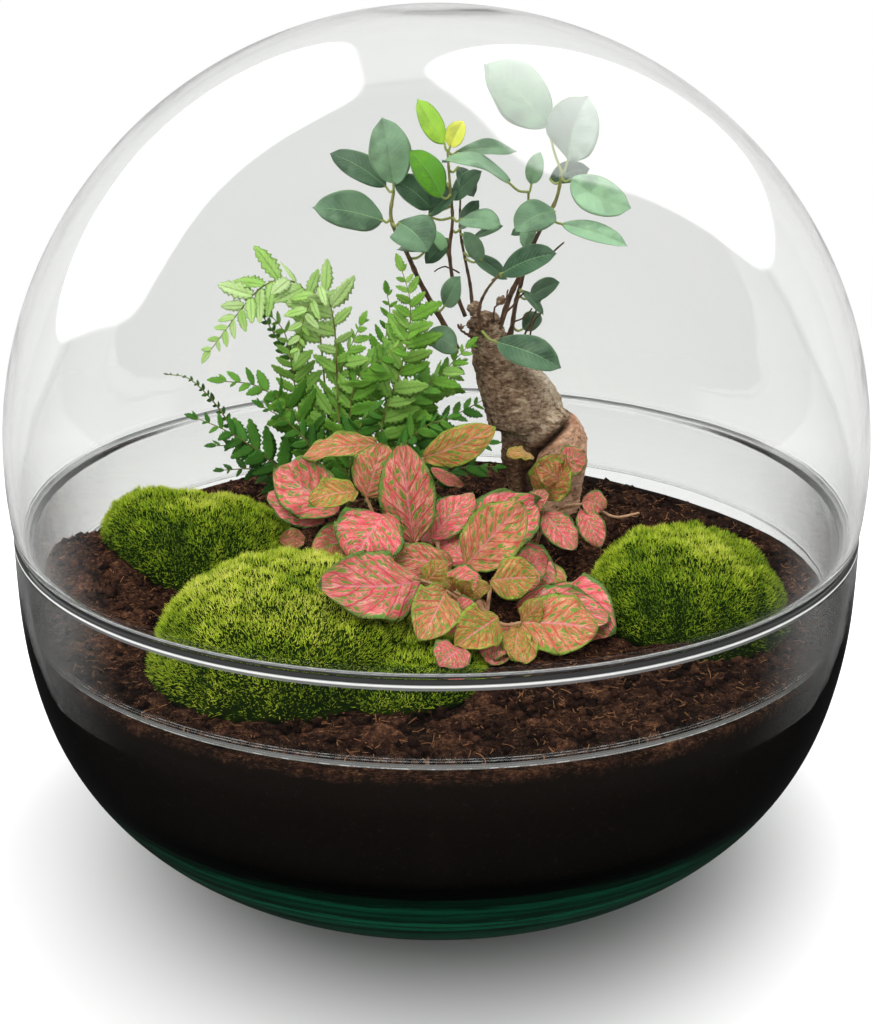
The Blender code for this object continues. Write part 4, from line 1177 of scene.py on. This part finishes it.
# the nerve plant
nerve = {
    "leaves": (
        ((-22, 8, 152), (-48, -4, 151), 10, 3, 30, 0.55), ((-25, -8, 137), (-18, -6, 157), 15, 2, 0, 0.42),
        ((-35, -9, 132), (-58, 2, 145), 16, 2, 0, 0.15), ((-18, -25, 137), (-28, -40, 125), 20, 2, 0, 0.05),
        ((-8, -16, 123), (-12, -14, 160), 16, 2, 0, 0.22), ((-5, 5, 148), (21, 8, 159), 11, 2, 15, 0.80),
        ((9, -18, 121), (36, -4, 134), 19, 3, 0, 0.0), ((10, -33, 121), (30, -30, 143), 17, 2, 0, 0.50),
        ((-5, -60, 127), (-37, -90, 138), 19, 3, 0, 0.12), ((3, -64, 125), (-5, -86, 117), 13, 2, 0, 0.62),
        ((18, -46, 121), (34, -50, 124), 12, 1, 0, 0.78), ((28, -62, 113), (53, -68, 113), 18, 2, 0, 0.55),
        ((27, -49, 113), (58, -58, 112), 14, 2, 0, 0.02), ((20, -66, 117), (6, -84, 114), 12, 2, 0, 0.88),
        ((39, 4, 132), (46, 2, 150), 13, 1, 0, 0.75),
    ),
    "smallLeaves": (
        ((-40, -8, 128), (-61, 2, 136), 11, 2, 0, 0.0), ((-28, -18, 143), (-44, -26, 142), 10, 2, 25, 0.85),
        ((-2, -14, 124), (13, -4, 138), 12, 2, 0, 0.05), ((-2, 2, 145), (10, 6, 137), 4, 1, 20, 0.0),
        ((6, -30, 121), (-17, -32, 125), 10, 2, 0, 0.35), ((-4, -50, 121), (3, -48, 129), 7, 1, 0, 0.85),
        ((27, -28, 118), (39, -24, 119), 10, 1, 0, 0.08), ((8, -84, 114), (0, -98, 114), 11, 1, 0, 0.0),
        ((22, -58, 110), (19, -80, 107), 9, 1, 0, 0.10), ((27, -62, 111), (25, -80, 107), 8, 1, 0, 0.80),
        ((28, -60, 111), (35, -62, 121), 7, 1, 0, 0.82), ((35, 2, 149), (25, -2, 151), 6, 2, 30, 0.80),
        ((39, -2, 129), (50, -12, 119), 10, 1, 0, 0.02), ((53, 4, 132), (62, 4, 129), 8, 1, 10, 0.10),
        ((53, 2, 129), (59, -8, 118), 8, 1, 0, 0.05), ((-56, -13, 123), (-47, -10, 123), 6, 1, 30, 0.30),
        ((-40, -30, 123), (-31, -30, 125), 6, 1, 20, 0.40), ((6, -52, 120), (2, -58, 127), 5, 1, 0, 0.9),
        ((9, -54, 119), (11, -60, 127), 6, 1, 0, 0.9), ((12, -52, 119), (18, -58, 124), 5, 1, 0, 0.85),
        ((4, -60, 117), (14, -66, 118), 8, 1, 0, 0.05), ((20, -34, 115), (36, -40, 119), 12, 1, 0, 0.05),
        ((0, -40, 118), (16, -46, 118), 12, 1, 0, 0.10), ((32, 0, 128), (40, -3, 138), 7, 1, 0, 0.02),
        ((44, 3, 146), (53, 0, 152), 9, 1, 20, 0.10), ((46, 2, 140), (36, -2, 147), 9, 1, -20, 0.60),
        ((36, -30, 110), (59, -60, 108), 20, 3, 0, 0.05), ((24, -58, 110), (17, -83, 106), 11, 1, 10, 0.12),
        ((25, -55, 110), (28, -83, 106), 10, 1, -10, 0.70), ((23, 0, 116), (41, -28, 112), 15, 2, 0, 0.05),
        ((7, -31, 112), (11, -58, 109), 10, 1, 0, 0.15), ((-2, -16, 118), (-14, -30, 112), 12, 2, 0, 0.30),
        ((12, -25, 119), (1, -5, 120), 12, 2, 0, 0.08), ((15, -41, 112), (5, -69, 108), 13, 2, 0, 0.20),
        ((34, -4, 112), (43, -37, 109), 12, 1, 0, 0.55), ((-15, -15, 116), (-24, -10, 121), 9, 1, 0, 0.12),
        ((3, 16, 122), (-6, -5, 119), 12, 1, 0, 0.02), ((-28, -6, 121), (-44, -20, 121), 11, 1, 0, 0.22),
    ),
    "stems": {
        "nerve_plant_stem_1": (2.4,
            ((6, -24, 112), (2, -20, 118), (-6, -17, 121), (-18, -14, 124), (-30, -11, 127))),
        "nerve_plant_stem_2": (2.4,
            ((14, -40, 112), (14, -44, 113), (15, -50, 113), (17, -56, 113), (20, -61, 114))),
    },
    "sideStems": (
        (1.7, ((-6, -17, 118), (-14, -8, 130), (-22, 4, 146))),
        (1.6, ((-12, -15, 118), (-20, -12, 128), (-25, -8, 137))),
        (1.6, ((-20, -14, 119), (-18, -20, 130), (-18, -25, 137))),
        (1.6, ((2, -20, 114), (-2, -6, 134), (-5, 5, 148))),
        (1.6, ((14, -44, 112), (4, -52, 120), (-5, -60, 127))),
        (1.6, ((14, -50, 112), (8, -58, 119), (3, -64, 125))),
        (1.6, ((36, 6, 108), (38, 5, 120), (39, 4, 132))),
        (1.4, ((39, 5, 122), (46, 4, 129), (53, 3, 131))),
        (1.4, ((17, -52, 112), (18, -48, 118), (20, -46, 122))),
        (1.2, ((60, 6, 127), (66, 5, 125), (74, 4, 127))),
        (1.5, ((20, -60, 112), (24, -62, 112), (28, -62, 113))),
        (1.5, ((6, -24, 113), (8, -20, 118), (9, -18, 121))),
    ),
    "fuller": 1.28, "thickness": 0.00060, "cup": 0.13, "fold": 0.12, "petiole": 0.0015,
    "upSide": (0.0, -0.80, 0.60), "rows": 44, "cols": 29,
    # ground colour: salmon pink, turning olive on young leaves
    "pink": ((0.30, (0.84, 0.120, 0.150)), (0.52, (0.94, 0.250, 0.260)), (0.72, (0.97, 0.50, 0.45))),
    "olive": ((0.30, (0.40, 0.20, 0.035)), (0.60, (0.56, 0.40, 0.080)), (0.80, (0.66, 0.58, 0.17))),
    "fleckTones": ((0.045, 0.18, 0.012), (0.20, 0.40, 0.04)),
    "veinTones": ((0.80, 0.030, 0.085), (0.60, 0.060, 0.040)),
    "marginTones": ((0.055, 0.24, 0.040), (0.36, 0.48, 0.05)), "ribTone": (0.90, 0.30, 0.36),
    "backTone": (0.42, 0.30, 0.10), "stalkTones": ((0.35, (0.33, 0.15, 0.075)), (0.65, (0.62, 0.40, 0.24))),
}


def nerveLook():
    look = Look("nerve plant leaf")
    along, across, tone, under = look.marks()
    side = look.sum("ABSOLUTE", across)
    where = look.place()
    way = look.sum("MULTIPLY_ADD", look.sum("POWER", side, 0.9), -0.34, along)
    flat = look.add("ShaderNodeCombineXYZ", {
        0: look.sum("MULTIPLY", way, 2.5), 1: look.sum("MULTIPLY", across, 1.05),
        2: look.sum("MULTIPLY", tone, 9.0)}).outputs[0]
    wander = look.noise(flat, 3.2, 3.0, 0.6)
    bent = look.sum("MULTIPLY_ADD", wander, 0.10, way)
    wave = look.sum("PINGPONG", look.sum("MULTIPLY", bent, 7.0), 0.5)
    mainVeins = look.ramp(wave, (0.0, 1.0), (0.13, 0.0))
    net = look.cells(flat, 4.6, "DISTANCE_TO_EDGE")
    netVeins = look.ramp(net, (0.0, 1.0), (0.070, 0.0))
    blotch = look.noise(flat, 4.0, 3.0, 0.6)
    colour = look.mix(tone, look.ramp(blotch, *nerve["pink"]), look.ramp(blotch, *nerve["olive"]))
    # green flecks between the veins
    fleck = look.ramp(net, (0.080, 0.0), (0.125, 1.0))
    patches = look.ramp(look.noise(flat, 3.6, 2.0, 0.6), (0.44, 0.0), (0.49, 1.0))
    between = look.ramp(wave, (0.06, 0.0), (0.12, 1.0))
    fleck = look.sum("MULTIPLY", look.sum("MULTIPLY", fleck, patches), between)
    green = look.mix(blotch, *nerve["fleckTones"])
    colour = look.mix(look.sum("MULTIPLY", fleck, 0.92), colour, green)
    red = look.mix(tone, *nerve["veinTones"])
    lines = look.sum("MAXIMUM", look.sum("MULTIPLY", mainVeins, 0.85), look.sum("MULTIPLY", netVeins, 0.50))
    colour = look.mix(lines, colour, red)
    rib = look.ramp(side, (0.0, 1.0), (0.055, 0.0))
    colour = look.mix(look.sum("MULTIPLY", rib, 0.85), colour, nerve["ribTone"])
    # green margin, ragged on its inner side
    ragged = look.sum("MULTIPLY_ADD", look.noise(flat, 7.0, 3.0, 0.7), 0.30, side)
    margin = look.ramp(look.sum("MULTIPLY", ragged, 0.8), (0.800, 0.0), (0.845, 1.0))
    tipward = look.sum("MULTIPLY_ADD", look.sum("GREATER_THAN", along, 0.965), 1.0, margin, clamp=True)
    colour = look.mix(look.sum("MULTIPLY", tipward, 0.9), colour, look.mix(tone, *nerve["marginTones"]))
    back = look.mix(0.55, colour, nerve["backTone"])
    colour = look.mix(look.sum("MULTIPLY", under, 0.85), colour, back)
    stalk = look.sum("LESS_THAN", along, -0.05)
    colour = look.mix(stalk, colour, look.ramp(look.noise(where, 300.0), *nerve["stalkTones"]))
    height = look.sum("MULTIPLY_ADD", lines, -0.8, look.sum("MULTIPLY", blotch, 0.3))
    return look.finish(Base_Color=colour, Roughness=0.45, Specular_IOR_Level=0.18,
                       Normal=look.bump(height, 0.7, 0.0009))


def nerveOutline(t):
    return np.sin(math.pi * np.clip(t, 0, 1) ** 0.95) ** 0.66


def nerveLift(rng, width):
    a, b, c, d = rng.uniform(0, 6.28, 4)

    def lift(u, v):
        quilt = -0.020 * np.exp(-((((u - 0.34 * np.abs(v) ** 0.9) * 8.0 + 0.4) % 1 - 0.5) / 0.16) ** 2)
        frill = 0.070 * np.sin(15 * u + a + 2 * v) * np.abs(v) ** 3
        frill += 0.045 * np.sin(24 * u + b) * np.abs(v) ** 4
        roll = 0.10 * np.sin(4 * u + c) * v + 0.09 * np.sin(3 * u + d) * v**2
        return width * (quilt * (1 - np.abs(v) ** 3) + frill + roll)
    return lift


def makeNerve(look):
    for k, leaf in enumerate(nerve["leaves"]):
        parts = leafParts(leaf, nerve, nerveOutline, 400 + k, None, nerveLift, 0.00045)
        obj = addMesh(f"veined_leaf_{k + 1}", parts, look)
        settle(obj, "nerve_leaf", f"nerve_plant_leaf_{k + 1:02d}")
    parts = []
    for k, leaf in enumerate(nerve["smallLeaves"]):
        parts += leafParts(leaf, nerve, nerveOutline, 440 + k, None, nerveLift, 0.0003)
    settle(addMesh("small_veined_leaves", parts, look), "nerve_leaf")
    for k, (name, (thick, points)) in enumerate(nerve["stems"].items()):
        path = smoothPath(np.array(points), 30) * mm
        stem = tube(path, np.linspace(1, 0.6, 30) * thick / 2 * mm, 12, along=-0.1, bumps=0.03, seed=k)
        settle(addMesh(name.replace("nerve_plant", "creeping"), [stem], look), "nerve_stem", name)
    parts = []
    for k, (thick, points) in enumerate(nerve["sideStems"]):
        path = smoothPath(np.array(points), 22) * mm
        radii = np.linspace(1, 0.7, 22) * thick / 2 * mm
        parts.append(tube(path, radii, 9, along=-0.1, bumps=0.03, seed=k))
    settle(addMesh("side_stems", parts, look), "nerve_stem")


# studio and view
studio = {
    "floor": (0.93, 0.93, 0.93), "floorBehind": (0.48, 0.48, 0.475), "toneBehind": (0.895, 0.90, 0.885),
    "plainFrom": 0.30, "plainTo": 0.75, "air": 0.75,
    "leftBox": {"from": (-0.66, 0.42, 0.62), "across": (-0.015, -0.834, 0.551), "size": (0.68, 1.10),
                "light": 3.0, "mirrored": 7.0},
    "rightBox": {"from": (0.497, 0.412, 0.764), "across": (-0.553, 0.829, -0.087), "size": (0.80, 1.06),
                 "light": 3.0, "mirrored": 6.5},
    "away": 0.9,
    "inside": {"from": (-0.22, -0.50, 0.95), "size": (0.55, 0.55), "light": 9.0,
               "seenBy": ("ficus", "small_ficus", "dry_twigs", "swollen_root", "leafy_frond",
                          "fern_filling", "veined", "small_veined", "creeping", "side_stems",
                          "moss_cushion", "peat")},
    "front": {"from": (-0.15, -0.75, 1.45), "way": (0.15, 0.75, -1.3), "size": (1.4, 1.4),
              "light": 3.897672},
    # the floor: half its width, where the sweep begins and how far it reaches, and the middle of the painted
    # contact shadow
    "floorHalf": 6.0, "sweepFrom": 1.6, "sweepSize": 1.2, "shadowMiddle": (0.020, 0.0, 0.0),
}
view = {"radii": 4.0, "down": 19.73, "lens": 58.35, "raise": -0.0104}


def aim(obj, spot, way, across=None):
    # the object's -Z looks along way, its X lies along across
    z = -Vector(way).normalized()
    x = Vector(across) if across else Vector((0, 0, 1)).cross(z)
    x = (x - z * x.dot(z)).normalized()
    y = z.cross(x)
    turn = Matrix((x, y, z)).transposed().to_4x4()
    obj.matrix_world = Matrix.Translation(Vector(spot)) @ turn


def addLamp(name, size, light, spot, way, across=None):
    # light is how bright the lamp's face is, whatever its size
    lamp = bpy.data.lights.new(name, "AREA")
    lamp.shape = "RECTANGLE"
    lamp.size, lamp.size_y = size
    lamp.energy = light * math.pi * size[0] * size[1]
    obj = bpy.data.objects.new(name, lamp)
    scene.collection.objects.link(obj)
    aim(obj, spot, way, across)
    obj.visible_camera = obj.visible_transmission = False
    return obj


def makePanel(name, spot, way, box):
    # the softbox's glowing face, with rounded corners and a soft edge: only glossy things see it
    wide, high = box["size"]
    look = Look(name)
    where = look.add("ShaderNodeSeparateXYZ", {0: look.add("ShaderNodeTexCoord").outputs["Object"]}).outputs
    x = look.sum("POWER", look.sum("ABSOLUTE", look.sum("MULTIPLY", where[0], 2 / wide)), 5.0)
    y = look.sum("POWER", look.sum("ABSOLUTE", look.sum("MULTIPLY", where[1], 2 / high)), 5.0)
    face = look.ramp(look.sum("ADD", x, y), (0.62, 1.0), (0.98, 0.0), smooth=True)
    strength = look.sum("MULTIPLY", face, box["mirrored"])
    glow = look.add("ShaderNodeEmission", {"Color": (1, 1, 1, 1), "Strength": strength})
    clear = look.add("ShaderNodeBsdfTransparent")
    mixed = look.add("ShaderNodeMixShader", {0: face, 1: clear.outputs[0], 2: glow.outputs[0]})
    look.tree.links.new(mixed.outputs[0], look.out.inputs[0])
    pts = np.array([(-wide, -high, 0), (wide, -high, 0), (wide, high, 0), (-wide, high, 0)]) / 2
    panel = addMesh(name, [(pts, [np.array([[0, 1, 2, 3]])], np.zeros((4, 4)))], look.mat)
    aim(panel, spot, way, box["across"])
    panel.visible_camera = panel.visible_diffuse = panel.visible_transmission = panel.visible_shadow = False


def makeStudio():
    scene.world = bpy.data.worlds.new("pale studio")
    sky = Look("pale studio", scene.world)
    rays = sky.add("ShaderNodeLightPath").outputs
    # bright behind, dark on the camera's side
    way = sky.add("ShaderNodeSeparateXYZ", {0: sky.add("ShaderNodeTexCoord").outputs["Generated"]}).outputs
    bright = sky.spread(way[1], -0.1, 0.6, 0.02, 0.80)
    # a mirrored ray that never met matter
    inside = sky.sum("MULTIPLY", sky.sum("GREATER_THAN", rays["Glossy Depth"], 0.5),
                     sky.sum("LESS_THAN", rays["Diffuse Depth"], 0.5))
    seen = sky.add("ShaderNodeBackground", {0: (1, 1, 1, 1), 1: 1.0}).outputs[0]
    around = sky.add("ShaderNodeBackground", {0: (1.0, 1.0, 0.99, 1), 1: studio["air"]}).outputs[0]
    mirrored = sky.add("ShaderNodeBackground", {0: (1, 1, 1, 1), 1: bright}).outputs[0]
    indoors = sky.add("ShaderNodeMixShader", {0: inside, 1: around, 2: mirrored}).outputs[0]
    mixed = sky.add("ShaderNodeMixShader", {0: rays["Is Camera Ray"], 1: indoors, 2: seen})
    sky.tree.links.new(mixed.outputs[0], sky.out.inputs[0])

    # a floor that sweeps up behind
    half, start, size = studio["floorHalf"], studio["sweepFrom"], studio["sweepSize"]
    turn = np.linspace(0.1, math.pi / 2, 12)
    ys = np.concatenate([np.linspace(-half, start, 20), start + size * np.sin(turn), [2.8, 2.8]])
    zs = np.concatenate([np.zeros(20), size * (1 - np.cos(turn)), [2.5, 5.0]])
    xs = np.linspace(-half, half, 5)
    pts = np.array([[x, y, z - 0.0002] for y, z in zip(ys, zs) for x in xs])
    look = Look("pale floor")
    spot = look.add("ShaderNodeTexCoord").outputs["Object"]
    reach = look.add("ShaderNodeVectorMath", {0: spot}, operation="LENGTH").outputs["Value"]
    far = look.spread(reach, studio["plainFrom"], studio["plainTo"], kind="SMOOTHSTEP")
    # a painted contact shadow darkens the floor around a middle beside the object
    middle = look.add("ShaderNodeVectorMath", {0: spot, 1: studio["shadowMiddle"]}, operation="ADD")
    beside = look.add("ShaderNodeVectorMath", {0: middle.outputs[0]}, operation="LENGTH").outputs["Value"]
    contact = look.spread(beside, 0.10, 0.27, 0.62, 1.0, "SMOOTHSTEP")

    def ground(shade, glow):     # lit floor near the object, an even tone further out
        near = look.add("ShaderNodeBsdfDiffuse", {"Color": look.mix(contact, (0, 0, 0), shade)})
        even = look.add("ShaderNodeEmission", {"Color": (*glow, 1)})
        return look.add("ShaderNodeMixShader", {0: far, 1: near.outputs[0], 2: even.outputs[0]}).outputs[0]
    rays = look.add("ShaderNodeLightPath").outputs
    depth = look.add("ShaderNodeSeparateXYZ", {0: spot}).outputs[1]
    glow = look.spread(depth, 0.12, 0.50, 0.015, 0.72, "SMOOTHSTEP")
    mirrored = look.add("ShaderNodeEmission", {"Color": (1, 1, 1, 1), "Strength": glow})
    # glass alone sees a dark floor on the camera's side, so nothing veils what is inside
    inFront = look.spread(depth, -0.10, 0.12, 0.98, 0.0, "SMOOTHSTEP")
    bounced = look.sum("MULTIPLY", look.sum("LESS_THAN", rays["Diffuse Depth"], 0.5),
                       look.sum("GREATER_THAN", rays["Glossy Depth"], 0.5))
    black = look.add("ShaderNodeEmission", {"Strength": 0.0})
    seenThrough = look.add("ShaderNodeMixShader", {
        0: look.sum("MULTIPLY", bounced, inFront),
        1: ground(studio["floorBehind"], studio["toneBehind"]), 2: black.outputs[0]})
    inGlass = look.add("ShaderNodeMixShader", {0: rays["Is Reflection Ray"], 1: seenThrough.outputs[0],
                       2: mirrored.outputs[0]})
    mixed = look.add("ShaderNodeMixShader", {0: rays["Is Camera Ray"], 1: inGlass.outputs[0],
                     2: ground(studio["floor"], (1.0, 1.0, 1.0))})
    look.tree.links.new(mixed.outputs[0], look.out.inputs[0])
    floor = addMesh("floor", [(pts, [sheetFaces(len(ys), 5)], np.zeros((len(pts), 4)))], look.mat)

    centre = Vector((0, 0, glass["domeCentre"]))
    for name in ("leftBox", "rightBox"):
        box = studio[name]
        way = Vector(box["from"]).normalized()
        spot = centre + way * studio["away"]
        addLamp(name, box["size"], box["light"], spot, -way, box["across"]).visible_glossy = False
        makePanel(name + "Panel", spot, -way, box)
    box = studio["front"]
    addLamp("front fill", box["size"], box["light"], box["from"], Vector(box["way"])).visible_glossy = False

    # a lamp that only the planting sees, so the glass and floor stay as they are
    box = studio["inside"]
    planting = bpy.data.collections.new("planting")
    for piece in scene.collection.objects:
        if piece.name.startswith(box["seenBy"]):
            planting.objects.link(piece)
    lamp = addLamp("inside", box["size"], box["light"], box["from"], centre - Vector(box["from"]))
    lamp.light_linking.receiver_collection = planting


def makeCamera():
    low = math.radians(view["down"])
    away = view["radii"] * glass["domeRadius"]
    data = bpy.data.cameras.new("camera")
    data.lens = view["lens"]
    data.sensor_width = 36
    data.shift_y = view["raise"]
    data.clip_start, data.clip_end = 0.01, 50
    data.dof.use_dof = False
    obj = bpy.data.objects.new("camera", data)
    scene.collection.objects.link(obj)
    obj.location = (0, -away * math.cos(low), glass["rim"] + away * math.sin(low))
    obj.rotation_euler = (math.pi / 2 - low, 0, 0)
    scene.camera = obj


makeBowl()
makeDome()
print("glass: bowl and dome")
soilMat = soilLook()
makeSoil(soilMat)
makeCrumbs()
print("soil, crumbs and fibres")
mossMat = mossLook()
for number, (name, lobes) in enumerate(moss["cushions"].items()):
    makeMoss(name, lobes, mossMat, 21 + number)
print("moss cushions")
makeTrunk(barkLook())
makeBranches(twigLook())
makeFicusLeaves(ficusLook())
print("ficus")
makeFern(fernLook())
print("fern")
makeNerve(nerveLook())
print("nerve plant")
makeStudio()
makeCamera()
scene.view_settings.view_transform = "Standard"
print("studio and camera")
